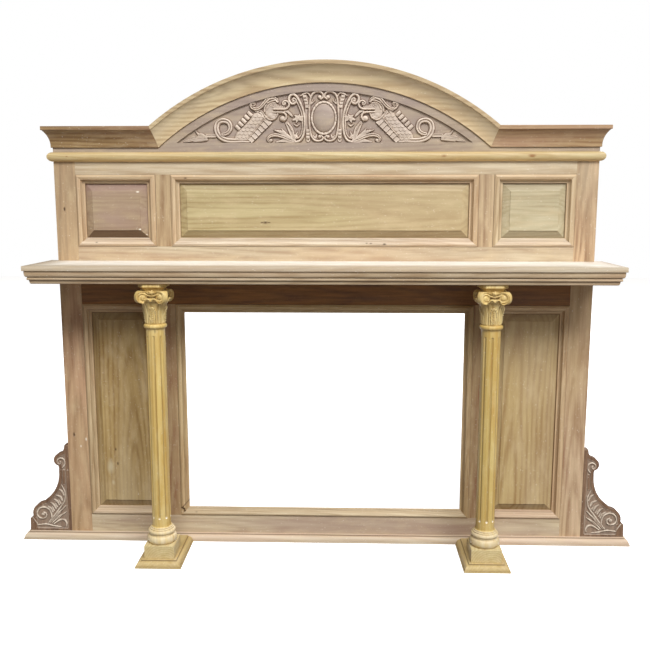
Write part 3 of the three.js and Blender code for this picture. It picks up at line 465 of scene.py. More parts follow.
def fluted_shaft(side):
    """The turned outline as rings of points, each radius less the flute's depth there. A flute is cut by a round
    gouge, so its depth over the arc s from its middle is sqrt(R^2 - s^2) - (R - depth), with the ends rounded."""
    node = f"{side}_column_shaft"
    low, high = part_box(node)
    centre, tall = (low + high) / 2, high.z - low.z
    neck = tall - NECK_RING_TALL
    flute_low, flute_high = 100 * MM, tall - 44 * MM
    plain = np.concatenate([np.linspace(70, 96, 8) * MM, flute_low + np.linspace(-1, 14, 16) * MM,
                            np.linspace(0.13, 0.82, 40), flute_high + np.linspace(-14, 1, 16) * MM,
                            neck + np.array([-24, -12, -3]) * MM])
    outline = np.concatenate([
        [(44 * MM, 0)], turned_ring(59.5 * MM, 0, 33 * MM, 11 * MM, 14),
        [(50 * MM, 34 * MM), (50 * MM, 38 * MM)], turned_ring(54.5 * MM, 39 * MM, 16 * MM, 7 * MM, 10),
        turned_ring(47.5 * MM, 55.4 * MM, 5 * MM, 1.5 * MM, 5), turned_ring(42.5 * MM, 61 * MM, 5 * MM, 1.5 * MM, 5),
        [(38.5 * MM, 67.5 * MM)],
        np.stack([np.full(len(plain), SHAFT_RADIUS), plain], -1),
        turned_ring(45 * MM, neck, NECK_RING_TALL, 7 * MM, 12), [(36 * MM, tall)]])
    radius, height = outline.T
    angle = np.linspace(0, 2 * math.pi, 176, endpoint=False)
    pitch = 2 * math.pi / FLUTES
    arc = SHAFT_RADIUS * np.abs((angle + pitch / 2) % pitch - pitch / 2)
    beyond = np.maximum(0, np.maximum(flute_low + FLUTE_RADIUS - height, height - flute_high + FLUTE_RADIUS))
    away = arc[None, :] ** 2 + beyond[:, None] ** 2
    cut = np.sqrt(np.maximum(FLUTE_RADIUS ** 2 - away, 0)) - (FLUTE_RADIUS - FLUTE_DEPTH)
    on_shaft = (radius < SHAFT_RADIUS + 0.1 * MM)[:, None]
    cut = np.where(on_shaft, np.maximum(cut, 0), 0)
    reach = radius[:, None] - cut
    stations = np.stack([centre.x + reach * np.sin(angle), centre.y - reach * np.cos(angle),
                         np.broadcast_to(low.z + height[:, None], reach.shape)], -1)
    powder = (cut > 0.4 * MM) * np.exp(-((height - flute_low - 2 * MM) / (5 * MM)) ** 2)[:, None]
    powder = np.maximum(powder, 0.42 * (height < BASE_TALL)[:, None])
    # Painted shade in the flutes, deepest where they are cut deepest and none where dust lies.
    painted_shade = 0.35 * cut / FLUTE_DEPTH * (1 - powder)
    if side == "left":
        pale = linear(229, 201, 128)
        holes = [((centre.x + 7 * MM, centre.y - SHAFT_RADIUS, low.z + neck - 9 * MM), 6 * MM, KNOT)]
    else:
        pale, holes = linear(200, 172, 102), []
    timber = bare_timber(node + "_timber", centre, pale, linear(188, 148, 76), along="Z", ring=11 * MM,
                         pith=(0.05, 0.02), askew=(0.3, 1.2), figure=0.5, tint=linear(202, 168, 92), tint_share=0.6,
                         spots=holes, seed=20 + (side == "left"), roughness=0.45, film=linear(238, 220, 164))
    wooden_piece(f"{side}_fluted_shaft", *carried(stations), timber, "column_wood", node, dust=powder, shade=painted_shade)


fluted_shaft("left")
fluted_shaft("right")

# Column capitals
# Each is carved from one block of the column's timber: leaves on a bell with curled tips, four corner volutes with a
# rosette between each two, and an eight-sided abacus that carries the shelf.

BELL_TALL = 129.4
LEAF_TIP_HEIGHT = 101
ROSETTE_HEIGHT = 124


def smooth_line(knots, count=48):
    """A Catmull-Rom curve through the knots: between two knots it is the cubic whose slope at each knot is half
    the step between that knot's neighbours."""
    knots = np.array(knots, float)
    padded = np.vstack([2 * knots[0] - knots[1], knots, 2 * knots[-1] - knots[-2]])
    place = np.linspace(0, len(knots) - 1, count)
    start = np.minimum(place.astype(int), len(knots) - 2)
    t = (place - start)[:, None]
    a, b, c, d = (padded[start + step] for step in range(4))
    return 0.5 * (2 * b + (c - a) * t + (2 * a - 5 * b + 4 * c - d) * t ** 2 + (3 * b - a - 3 * c + d) * t ** 3)


def beside(across, up, line):
    """Each spot's distance from a line, negative on its right, and the share of the line at the nearest place."""
    start, step = line[:-1], np.diff(line, axis=0)
    square = (step ** 2).sum(1) + 1e-12
    dx, dz = across[:, None] - start[:, 0], up[:, None] - start[:, 1]
    t = np.clip((dx * step[:, 0] + dz * step[:, 1]) / square, 0, 1)
    ox, oz = dx - t * step[:, 0], dz - t * step[:, 1]
    away = ox ** 2 + oz ** 2
    row, nearest = np.arange(len(across)), away.argmin(1)
    side = np.where(step[nearest, 0] * oz[row, nearest] >= step[nearest, 1] * ox[row, nearest], 1, -1)
    return side * np.sqrt(away[row, nearest]), (nearest + t[row, nearest]) / len(start)


def cut_profile(form, r):
    """Height across a carved rib, from its middle at 0 to its edge at 1: a half round, a pair of ridges, a hollow
    between rims, a leaf with a midrib in a hollow, or a flat with eased edges."""
    far = np.minimum(np.abs(r), 1)
    if form == "round":
        return np.sqrt(1 - far ** 2)
    eased = np.sqrt(1 - far ** 6)
    if form == "pair":
        return eased * (1 - 0.5 * np.exp(-(far / 0.24) ** 2))
    if form == "hollow":
        return eased * (1 - 0.55 * (1 - far ** 2) ** 1.5)
    if form == "leaf":
        return eased * (0.62 + 0.38 * far + 0.3 * np.exp(-(far / 0.16) ** 2))
    return eased


def rib(height, across, up, knots, widths, crest, form="round"):
    """Raises a rib on a relief: along a smooth line, with half widths and crest heights given along its length."""
    line = smooth_line(knots) if len(knots) > 2 else np.linspace(knots[0], knots[-1], 8)
    widest = np.max(widths)
    near = np.flatnonzero((across > line[:, 0].min() - widest) & (across < line[:, 0].max() + widest)
                          & (up > line[:, 1].min() - widest) & (up < line[:, 1].max() + widest))
    if not len(near):
        return
    away, along = beside(across[near], up[near], line)
    half = np.interp(along, np.linspace(0, 1, np.size(widths)), np.atleast_1d(widths))
    top = np.interp(along, np.linspace(0, 1, np.size(crest)), np.atleast_1d(crest))
    raised = np.where(np.abs(away) < half, top * cut_profile(form, away / half), height[near])
    height[near] = np.maximum(height[near], raised)


def dome(height, across, up, centre, radii, crest):
    """Raises half an ellipsoid."""
    r = np.hypot((across - centre[0]) / radii[0], (up - centre[1]) / radii[1])
    under = r < 1
    height[under] = np.maximum(height[under], crest * np.sqrt(1 - r[under] ** 2))


def crests_and_corners(height, reach=4):
    """Marks for dust on the crests and painted shade in the hollows: how far the relief stands above, or lies below,
    its own mean over a few cells.
    """
    blurred = height.copy()
    for _ in range(reach):
        padded = np.pad(blurred, 1, mode="edge")
        blurred = (padded[1:-1, 1:-1] + padded[:-2, 1:-1] + padded[2:, 1:-1] + padded[1:-1, :-2] + padded[1:-1, 2:]) / 5
    return np.clip((height - blurred) / 1.1, 0, 1), np.clip((blurred - height) / 1.3, 0, 1)


def carved_bell():
    """Rings of a turned bell whose radius is a cubic flare plus the carving, which repeats at every quarter: a broad
    leaf in the middle of each side with a smaller one and a row of beads on it, and narrow leaves at the corners."""
    up = np.linspace(0, BELL_TALL, 92)
    angle = np.linspace(-math.pi / 4, math.pi / 4, 60, endpoint=False)
    radius = 34.5 + 10.5 * np.clip(up / 85, 0, 1) ** 3
    level, turn = (part.ravel() for part in np.meshgrid(up, angle, indexing="ij"))
    height = np.zeros_like(level)
    for corner in (-1, 1):
        across = (turn - corner * math.pi / 4) * 40
        rib(height, across, level, [(0, 0), (0, 40), (0, 86)], [7, 9, 11], [4.5, 6, 11], "leaf")
        across = (turn - corner * math.pi / 8) * 38
        rib(height, across, level, [(0, 0), (corner, 36), (corner * 3, 78)], [3, 4, 3], [3.5, 5, 4], "round")
    across = turn * 40
    rib(height, across, level, [(0, 0), (0, 45), (0, 88)], [11, 15, 24], [5, 6.5, 9], "hollow")
    rib(height, across, level, [(0, 0), (0, 34), (0, 63)], [8, 11, 7], [5.5, 8, 11], "leaf")
    for side in (-1, 1):
        rib(height, across, level, [(side * 3, 62), (side * 9, 52), (side * 13, 34)], [1.6, 2.2, 1.4], [11.5, 9.5, 7])
        for foot in (12, 26, 40, 54):
            rib(height, across, level, [(side * 2, foot), (side * 8, foot + 9), (side * 11, foot + 16)],
                [1, 2, 1], [6.5, 7.5, 6.5])
    for bead in range(6):
        dome(height, across, level, (0, 10 + 8.5 * bead), (2.6, 3.4), 9 + 0.5 * bead)
    height = height.reshape(len(up), len(angle))
    crests, corners = crests_and_corners(height, 3)
    fade = np.clip((BELL_TALL - 30 - up) / 14, 0, 1)[:, None] * np.clip(up / 4, 0.35, 1)[:, None]
    height, crests, corners = (np.tile(part * fade, (1, 4)) for part in (height, crests, corners))
    angle = np.concatenate([angle + quarter * math.pi / 2 for quarter in range(4)])
    reach = radius[:, None] + height
    rings = np.stack([reach * np.sin(angle), -reach * np.cos(angle), np.broadcast_to(up[:, None], reach.shape)], -1)
    return carried(rings), crests, corners


def abacus_slab():
    """An eight-sided slab on a cove: an octagon whose half width grows along a quarter of an ellipse."""
    turn = np.linspace(0, math.pi / 2, 7)
    half = [39, *(40 + 12 * (1 - np.cos(turn))), 54, 54, 53.2]
    level = [BELL_TALL - 4, *(BELL_TALL + 15 * np.sin(turn)), 145.4, 156.6, 157.4]
    half, level = np.array(half)[:, None], np.array(level)[:, None]
    x, y = np.array([(-0.6, -1), (0.6, -1), (1, -0.6), (1, 0.6), (0.6, 1), (-0.6, 1), (-1, 0.6), (-1, -0.6)]).T
    return carried(np.stack([half * x, half * y, np.broadcast_to(level, (len(level), 8))], -1))


def corner_volute():
    """A disc in the diagonal plane, thin at its outer rim and thicker towards the bell. On both faces a ridge winds
    inwards by an even step to a turn round a raised eye, with a hollow channel between its turns."""
    centre, height, radius, flare = 61, 107, 24, 0.42
    turn = np.linspace(0, 2 * math.pi, 56, endpoint=False)
    share = np.concatenate([[0.03], np.linspace(0.1, 0.97, 16), [1]])[:, None]
    wound = ((1 - share) * 2.0 + turn / (2 * math.pi)) % 1
    ridge = 4.2 * np.exp(-((wound - 0.5) / 0.2) ** 2) - 2.4
    ridge = np.where(share < 0.3, 3.2 * np.sqrt(np.maximum(1 - (share / 0.34) ** 2, 0)), ridge)
    ridge = np.where(share > 0.9, 1.2, ridge)
    rings = []
    for side in (-1, 1):
        x = centre + radius * share * np.cos(-side * turn)
        z = height + radius * share * np.sin(-side * turn)
        thick = 6.5 + (centre + radius - x) * flare + ridge * (share < 1)
        ring = np.stack([x, side * thick, z], -1)
        rings.append(ring if side < 0 else ring[::-1, ::-1])
    rings[1] = np.roll(rings[1], 1, axis=1)
    return carried(np.concatenate(rings))


def tube_along(knots, radii):
    """Circles across a smooth path in space, with radii given along it and small ends: each lies in the plane of
    two unit vectors at right angles to the path."""
    knots = np.array(knots, float)
    path = np.stack([smooth_line(np.stack([np.arange(len(knots)), part], -1), 28)[:, 1] for part in knots.T], -1)
    ahead = np.gradient(path, axis=0)
    ahead /= np.linalg.norm(ahead, axis=1)[:, None]
    first = np.cross(ahead, (0.02, 1, 0.03))
    first /= np.linalg.norm(first, axis=1)[:, None]
    second = np.cross(ahead, first)
    radius = np.interp(np.linspace(0, 1, len(path)), np.linspace(0, 1, len(radii)), radii)
    radius[[0, -1]] *= 0.4
    angle = np.linspace(0, 2 * math.pi, 12, endpoint=False)
    circle = (np.cos(angle)[None, :, None] * first[:, None] + np.sin(angle)[None, :, None] * second[:, None])
    return carried(path[:, None] + radius[:, None, None] * circle)


def rounded_mass(centre, radii, petals=0, depth=0.0):
    """An ellipsoid by rings of latitude round the outward axis; with petals its rings swell and shrink round it."""
    polar = np.linspace(0.06, math.pi - 0.06, 22)[:, None]
    turn = np.linspace(0, 2 * math.pi, 40, endpoint=False)
    swell = 1 + depth * np.sin(polar) * np.cos(petals * turn)
    return carried(np.stack([centre[0] + radii[0] * np.sin(polar) * swell * np.cos(turn),
                             centre[1] - radii[1] * np.cos(polar) * (1 - 0.25 * depth * np.cos(petals * turn)),
                             centre[2] + radii[2] * np.sin(polar) * swell * np.sin(turn)], -1))


def joined_shells(shells):
    """One array of points and one list of faces from closed shells, each turned outwards by its signed volume."""
    points, faces, start = [], [], 0
    for shell_points, shell_faces in shells:
        quads = np.array([face_corners for face_corners in shell_faces if len(face_corners) == 4])
        a, b, c, d = shell_points[quads].transpose(1, 0, 2)
        ends = [shell_points[face_corners] for face_corners in shell_faces if len(face_corners) > 4]
        volume = np.einsum("ij,ij->", a, np.cross(b, c)) + np.einsum("ij,ij->", a, np.cross(c, d))
        volume += sum(np.einsum("ij,ij->", np.broadcast_to(end[0], end[1:-1].shape), np.cross(end[1:-1], end[2:]))
                      for end in ends)
        step = 1 if volume > 0 else -1
        points.append(shell_points)
        faces += [[corner + start for corner in face_corners[::step]] for face_corners in shell_faces]
        start += len(shell_points)
    return np.concatenate(points), faces


def turned_about(shell, quarter):
    """A shell turned round the column's axis by an angle."""
    points, faces = shell
    turn = np.array([[math.cos(quarter), math.sin(quarter), 0], [-math.sin(quarter), math.cos(quarter), 0], [0, 0, 1]])
    return points @ turn, faces


def carved_capital(side):
    """The bell, abacus, volutes, rosettes and curled leaf tips, with dust on the bell's crests and painted shade in its
    hollows and on the carved parts nearest the bell.
    """
    node = f"{side}_column_capital"
    low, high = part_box(node)
    bell, crests, corners = carved_bell()
    shells = [bell, abacus_slab()]
    tip = LEAF_TIP_HEIGHT
    scallop = [(-27, -52, tip - 20), (-23, -58, tip - 9), (-15, -62, tip), (-7, -63, tip - 1), (0, -61, tip - 9),
               (7, -63, tip - 1), (15, -62, tip), (23, -58, tip - 9), (27, -52, tip - 20)]
    channel = [(-30, -50, 124), (-18, -52, 116), (0, -53, 112), (18, -52, 116), (30, -50, 124)]
    for quarter in (np.arange(4) * math.pi / 2).tolist():
        shells += [turned_about(shell, quarter) for shell in (
            tube_along(scallop, [1.6, 3.2, 3.6, 3.4, 2.6, 3.4, 3.6, 3.2, 1.6]),
            tube_along(channel, [2.2, 2.4, 2.6, 2.4, 2.2]),
            rounded_mass((0, -50, tip - 6), (22, 9, 9)),
            rounded_mass((0, -49, ROSETTE_HEIGHT), (10.5, 7.5, 9.5), 5, 0.16),
            rounded_mass((0, -55, ROSETTE_HEIGHT), (3.5, 4.5, 3.5)))]
        shells.append(turned_about(corner_volute(), quarter + math.pi / 4))
    points, faces = joined_shells(shells)
    count = len(bell[0])
    dust, shade = np.zeros(len(points)), np.zeros(len(points))
    # Dust on the bell's crests; painted shade in its hollows, and on the volutes, leaf tips and rosettes the nearer
    # they lie to the bell, below the abacus.
    dust[:count], shade[:count] = 0.5 * crests.ravel(), 0.8 * corners.ravel()
    depth = np.hypot(points[count:, 0], points[count:, 1])
    shade[count:] = 0.6 * np.clip((58 - depth) / 10, 0, 1) * (points[count:, 2] < 126)
    centre = np.array([(low.x + high.x) / 2, (low.y + high.y) / 2, low.z])
    drilled = [(centre + (0, -53 * MM, up * MM), 4 * MM, KNOT) for up in (tip - 12, tip - 23)]
    timber = bare_timber(node + "_timber", (low + high) / 2, linear(226, 200, 132), linear(184, 146, 78), along="Z",
                         ring=8 * MM, figure=0.4, seed=24 + (side == "left"), roughness=0.5,
                         film=linear(236, 218, 164), dust=linear(250, 236, 188), painted_shade=linear(104, 68, 26),
                         spots=drilled)
    wooden_piece(f"{side}_carved_capital", centre + points * MM, faces, timber, "column_wood", node, crease=45,
                 dust=dust, shade=shade)


carved_capital("left")
carved_capital("right")

# Shelf
# A pale board with a square edge lies on a moulded bed, which bears on the frame and on both columns. The bed has an
# ovolo, a bead between two grooves and a flat, with painted shade in its grooves and quirks. The board's top grows
# pale towards the overmantel, partly dust and partly a painted reflection of the light across it, and its edge's
# arrises carry painted shade.

bed_low, bed_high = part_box("shelf_bed")
turn = np.linspace(0, math.pi / 2, 9)
ovolo = np.stack([6 * (1 - np.cos(turn)), 45 - 17 * np.sin(turn)], -1)
turn = np.linspace(-math.pi / 2, math.pi / 2, 9)
bead = np.stack([9.5 - 2.4 * np.cos(turn), 20.9 - 5 * np.sin(turn)], -1)
bed_edge = np.array([(0, 50.8), (0, 47), *ovolo, (9, 27.4), (9.5, 26.5), *bead, (12.6, 15.4), (13.4, 14.8),
                     (13.9, 14.3), (15, 8), (16.6, 2.4), (20, 0.3)]) * MM
bed_timber = bare_timber("shelf_bed_timber", (0, bed_low.y, bed_high.z), linear(204, 182, 150), linear(162, 134, 100),
                         ring=10 * MM, figure=0.4, tint=PINK_TAN, tint_share=0.5, seed=30)
# The mark shade paints shade into the bed's grooves and quirks.
wooden_piece("moulded_shelf_bed", *moulded_slab("shelf_bed", bed_edge), bed_timber, "shelf_wood", "shelf_bed",
             shade=np.repeat(quirk_shade(bed_edge, 0.9), 4))
shelf_low, shelf_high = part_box("shelf_board")
shelf_tall = shelf_high.z - shelf_low.z
shelf_timber = bare_timber("shelf_board_timber", (0, 0, shelf_high.z), linear(208, 194, 170),
                           linear(178, 154, 124), ring=14 * MM, pith=(0.03, 0.12), figure=0.35,
                           tint=linear(196, 170, 140), tint_share=0.5, seed=31, dust=linear(248, 242, 230))
shelf_edge = [(1.5 * MM, 0), (0.4 * MM, 0.5 * MM), (0, 1.6 * MM), (0, shelf_tall - 1.6 * MM),
              (0.4 * MM, shelf_tall - 0.5 * MM), (1.5 * MM, shelf_tall), (70 * MM, shelf_tall), (110 * MM, shelf_tall)]
# The top's far part is paled with the dust mark, partly dust and partly a painted reflection; the edge's arrises get
# painted shade.
wooden_piece("shelf_top_board", *moulded_slab("shelf_board", shelf_edge), shelf_timber, "shelf_wood", "shelf_board",
             dust=np.repeat([0, 0, 0, 0, 0, 0, 0.5, 0.95], 4),
             shade=np.repeat([0.3, 0.2, 0, 0, 0.1, 0.25, 0, 0], 4))

# Overmantel frame, panels and mouldings
# The frame stands on the shelf: two outer stiles and two mullions between a top and a bottom rail, round three
# fielded panels that are each of another tone, with the same bolection moulding.

board_timber("upper_left_outer_stile", linear(178, 144, 108), linear(114, 80, 56), figure=0.5,
             tint=linear(196, 170, 132), tint_share=0.5, seed=40, spots=[((-1.054, face, 1.409), 3.5 * MM, KNOT)])
board_timber("upper_right_outer_stile", linear(196, 164, 128), linear(140, 106, 76), figure=0.5, tint=PALE_SAND,
             tint_share=0.4, seed=41)
board_timber("upper_left_mullion", linear(190, 164, 126), linear(142, 110, 78), figure=0.6, seed=42)
board_timber("upper_right_mullion", linear(194, 168, 132), linear(146, 116, 86), figure=0.6, seed=43)
board_timber("upper_top_rail", linear(208, 190, 160), linear(170, 144, 112), figure=0.4, seed=44)
board_timber("upper_bottom_rail", linear(198, 180, 150), linear(164, 140, 112), figure=0.35, tint=PINK_TAN,
             tint_share=0.3, seed=45)
fielded_panel("upper_left_panel", "upper_left_fielded_panel", bare_timber(
    "upper_left_panel_timber", panel_centre("upper_left_panel"), linear(178, 156, 124), linear(142, 116, 90),
    pith=(0.05, 0.02), figure=0.25, blotch=0.6, tint=linear(158, 128, 114), tint_share=0.8, seed=46,
    film=linear(190, 166, 130), spots=[
        ((-0.86, face, 1.362), 42 * MM, (*linear(156, 128, 118)[:3], 0.5)), ((-0.752, face, 1.4776), 3 * MM, CHIP),
        ((-0.7466, face, 1.327), 3 * MM, CHIP), ((-0.7235, face + 12 * MM, 1.3065), 3 * MM, CHIP)]), below=0.75)
fielded_panel("upper_centre_panel", "upper_centre_fielded_panel", bare_timber(
    "upper_centre_panel_timber", panel_centre("upper_centre_panel"), linear(199, 182, 137), linear(156, 133, 89),
    ring=17 * MM, pith=(0.03, 0.01), askew=(0.3, 2.2), figure=0.35, tint=linear(182, 156, 120), tint_share=0.5,
    seed=47, spots=[((x, face, 1.3555), radius * MM, KNOT) for x, radius in ((-0.250, 3), (-0.236, 6), (-0.222, 3))]))
fielded_panel("upper_right_panel", "upper_right_fielded_panel", bare_timber(
    "upper_right_panel_timber", panel_centre("upper_right_panel"), linear(194, 181, 148), linear(162, 145, 110),
    pith=(0.05, 0.04), figure=0.3, seed=48))
moulding_round("upper_left", (214, 192, 156), (164, 132, 96), 50, [(-0.926, 1.2755)])
moulding_round("upper_centre", (212, 190, 154), (162, 130, 94), 51,
               [(-0.5555, 1.532), (-0.452, 1.5216), (0.173, 1.273), (0.190, 1.272), (0.245, 1.2695)])
moulding_round("upper_right", (214, 194, 158), (166, 138, 102), 52)

# Nosing rail
# A half-round rail of creamy softwood under the frieze, returned round both ends. Its lower quarter is paled with
# the dust tone: painted light.

rail_low, rail_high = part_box("half_round_rail")
rail_tall = rail_high.z - rail_low.z
turn = np.linspace(-math.pi / 2, math.pi / 2, 25)
half_round = np.stack([20 * MM * (1 - np.cos(turn)), rail_tall * (1 + np.sin(turn)) / 2], -1)
KNOT_BROWN = linear(140, 94, 46)
rail_timber = bare_timber("half_round_timber", (0, rail_low.y, rail_low.z), linear(206, 188, 142),
                          linear(172, 144, 94), ring=8 * MM, figure=0.45, tint=linear(196, 162, 108),
                          tint_share=0.35, seed=60, roughness=0.5, dust=linear(250, 212, 146), spots=[
                              ((x, rail_low.y, 1.617), radius * MM, KNOT_BROWN)
                              for x, radius in ((-1.028, 3), (0.476, 7), (0.820, 7))])
# Painted light: the lower quarter of the round is blended towards the pale dust tone.
wooden_piece("turned_nosing_rail", *moulded_slab("half_round_rail", half_round), rail_timber, "nosing_wood",
             "half_round_rail", dust=np.repeat(np.clip(-0.2 - np.sin(turn), 0, 0.8), 4))

# Frieze
# One arched hardwood board between the nosing rail and the cornice. Its field is sunk, and two facing dragons with
# leaves and a cartouche with an oval boss were left standing and carved in the solid. Pale dust lies on the crests,
# and painted shade in the hollows beside them.

FIELD_DEPTH = 8 * MM
GREATEST_RELIEF = 15.2
BOSS_HALF_WIDTH, BOSS_HALF_HEIGHT, BOSS_LEVEL = 43.6, 57, 95.5
FIELD_RADIUS = 970 * MM
ARCH_RADIUS = 1002 * MM
ARCH_CENTRE_DROP = 753 * MM
frieze_low, frieze_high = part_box("carved_frieze")
run_low, run_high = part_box("cornice_left_run")
arch_centre = run_low.z - ARCH_CENTRE_DROP
outer_radius = frieze_high.z - arch_centre
field_low = run_low.z + 18 * MM
field_half = math.sqrt(FIELD_RADIUS ** 2 - (field_low - arch_centre) ** 2)


def notch(height, across, up, start, end, width, depth):
    """Cuts a groove with a Gaussian section along a straight line."""
    away, _ = beside(across, up, np.linspace(start, end, 6))
    height -= np.minimum(height, depth * np.exp(-(away / width) ** 2))


def within(across, up, outline, soft):
    """How far a spot lies inside a closed smooth outline, as a share of a soft edge, and 0 outside. A spot is inside
    where a level ray from it crosses the outline an odd number of times."""
    line = smooth_line([*outline, outline[0]], 90)
    away, _ = beside(across, up, line)
    (x0, z0), (x1, z1) = line[:-1].T, line[1:].T
    spans = (z0 > up[:, None]) != (z1 > up[:, None])
    crossing = x0 + (up[:, None] - z0) * (x1 - x0) / np.where(z1 == z0, 1e-9, z1 - z0)
    inside = (spans & (across[:, None] < crossing)).sum(1) % 2 == 1
    return np.where(inside, np.minimum(np.abs(away) / soft, 1), 0)


def fish_scales(across, up, width, pitch):
    """Overlapping round scales in staggered rows: each is a disc that rises towards its lower edge, and the row
    above lies on the row below."""
    best = np.zeros_like(across)
    for shift in (-1, 0, 1):
        row = np.round(up / pitch) + shift
        middle = (np.round(across / width - 0.5 * (row % 2)) + 0.5 * (row % 2)) * width
        dx, dz = (across - middle) / (0.56 * width), (up - row * pitch) / (0.62 * width)
        disc = 1.6 - 1.5 * dz - 0.8 * dx ** 2
        best = np.maximum(best, np.where(dx ** 2 + dz ** 2 < 1, disc, 0))
    return best


def carve_dragon_half(across, up):
    """The carving's height over the ground in millimetres, at spots given in millimetres out from the middle and up
    from the field's lower edge."""
    height = np.zeros_like(across)
    spot = (across, up)

    # Tail, button and bud
    rib(height, *spot, [(300, 8), (330, 9), (359, 8), (386, 10), (410, 20), (424, 38), (428, 57), (423, 75), (410, 85),
                        (394, 86), (380, 80), (373, 67), (373, 54), (380, 42), (392, 35), (403, 33)],
        [8, 9.5, 10.5, 10.5, 10, 9, 8, 7], [7, 9, 9, 9.5, 10, 9, 8, 7], "pair")
    rib(height, *spot, [(466, 27.5), (434, 27.5)], 7, 7.5, "hollow")
    rib(height, *spot, [(468, 22), (493, 19), (518, 15), (540, 9), (560, 3.5)], [4, 9, 9, 6, 1.5], 7.5, "leaf")
    rib(height, *spot, [(470, 19), (484, 31), (500, 34), (512, 47)], [5, 5.5, 4.5, 1.5], 8, "leaf")
    rib(height, *spot, [(468, 12), (492, 9), (520, 4.5)], [5, 6.5, 2.5], 6.5, "round")
    rib(height, *spot, [(500, 27), (520, 22), (534, 17)], [2, 5, 2], 8, "leaf")

    # Scaled body, crenels on its back and plates on its belly
    body = [(264, 122), (236, 104), (246, 80), (270, 48), (300, 16), (316, 4), (338, 3), (356, 14), (348, 39),
            (318, 67), (294, 90), (283, 110)]
    skin = within(*spot, body, 9)
    height = np.maximum(height, np.where(skin > 0, np.sqrt(skin) * 5.5 + skin * fish_scales(across, up, 16.0, 13.5), 0))
    back = np.array([(288, 116), (350, 50)])
    run = (back[1] - back[0]) / np.hypot(*(back[1] - back[0]))
    along = (across - back[0, 0]) * run[0] + (up - back[0, 1]) * run[1]
    out = (across - back[0, 0]) * -run[1] + (up - back[0, 1]) * run[0]
    tab = (along / 18.0) % 1
    crenel = (along > 0) & (along < 90) & (out > -10) & (out < 13) & (tab < 0.8)
    height = np.maximum(height, np.where(crenel, 9.5 - 3.5 * np.abs(tab - 0.4) / 0.4 - 0.12 * np.abs(out), 0))
    belly = np.array([(210, 82), (292, 2)])
    run = (belly[1] - belly[0]) / np.hypot(*(belly[1] - belly[0]))
    along = (across - belly[0, 0]) * run[0] + (up - belly[0, 1]) * run[1]
    out = (across - belly[0, 0]) * run[1] - (up - belly[0, 1]) * run[0]
    plate = (along / 19.0) % 1
    plates = (along > 0) & (along < 114) & (out > -27) & (out < 6)
    height = np.maximum(height, np.where(plates, 4.5 + 4.5 * plate + 0.09 * out, 0))
    rib(height, *spot, [(229, 101), (262, 60), (308, 10)], 2.0, 9.5)

    # Neck collar, jaw, head and snout
    rib(height, *spot, [(272, 127), (250, 119), (239, 106), (233, 92)], [6, 6.5, 6, 5], 9.5, "hollow")
    head = [(236, 121), (234, 138), (222, 153), (206, 160), (190, 158), (180, 147), (160, 143), (147, 133), (152, 127),
            (190, 125), (196, 120), (182, 112), (186, 99), (200, 90), (216, 92), (230, 104)]
    skull = within(*spot, head, 8)
    height = np.maximum(height, 6.5 * np.sqrt(skull))
    dome(height, *spot, (212, 106), (17, 13), 9)
    rib(height, *spot, [(182, 112), (190, 97), (206, 89), (221, 92), (233, 105)], [3, 3.4, 3.4, 3.4, 3], 10)
    dome(height, *spot, (203, 97), (15, 9), 9)
    notch(height, *spot, (197, 123.5), (146, 123.5), 2.0, 9)
    rib(height, *spot, [(199, 130), (171, 129.5), (153, 130), (141, 138), (137.5, 150), (144, 159), (155, 161),
                        (163, 154), (160, 146), (152, 147)], [4.5, 4.5, 4.5, 4.5, 4.5, 4, 4, 3.5, 3], 10)
    dome(height, *spot, (154, 152), (6, 6), 9)
    rib(height, *spot, [(200, 118), (176, 117.5), (160, 116), (151, 108), (150, 95), (158, 86)],
        [3.5, 4.5, 4.5, 4.5, 4.5, 4], 10)
    dome(height, *spot, (164, 93), (11.5, 11), 12)
    for step in range(5):
        rib(height, *spot, [(188 - 7 * step, 147 - 0.6 * step), (184 - 7 * step, 135)], 1.8, 8.5)
    rib(height, *spot, [(236, 120), (234, 137), (222, 153), (206, 161), (192, 163), (184, 156)], 3.4, 10)
    rib(height, *spot, [(226, 128), (217, 146), (204, 154), (191, 152)], 2.6, 9.5)
    rib(height, *spot, [(211, 143), (204, 150), (194, 146), (200, 138), (211, 143)], 1.6, 9)
    dome(height, *spot, (202, 144.5), (3.6, 3.2), 10.5)
    rib(height, *spot, [(181, 158), (187, 168), (203, 174), (219, 170), (231, 159), (244, 144), (257, 134), (271, 131),
                        (284, 136), (290, 146), (285, 155), (276, 154), (274, 147), (280, 143)],
        [3, 6, 7.5, 7.5, 7, 6.5, 6, 5, 4.5, 4, 3.5], [8, 10.5, 11, 11, 10, 9, 8.5], "pair")
    for step in range(4):
        notch(height, *spot, (226 + 9 * step, 153 - 10 * step), (231 + 9 * step, 147 - 10 * step), 1.6, 5)

    # Mouth spray and flower
    rib(height, *spot, [(158, 121), (144, 120), (132, 110), (124, 101)], [2.5, 5, 5.5, 2], 7.5, "leaf")
    for tip in ((124, 88), (110, 78), (86, 84), (80, 100), (96, 108), (116, 106)):
        rib(height, *spot, [(102, 94), ((102 + tip[0]) / 2, (94 + tip[1]) / 2 + 1), tip], [3, 6, 2], 8, "leaf")
    dome(height, *spot, (102, 94), (5, 5), 9.5)
    rib(height, *spot, [(118, 71), (107, 65), (97, 71)], [2, 4, 2], 6.5)

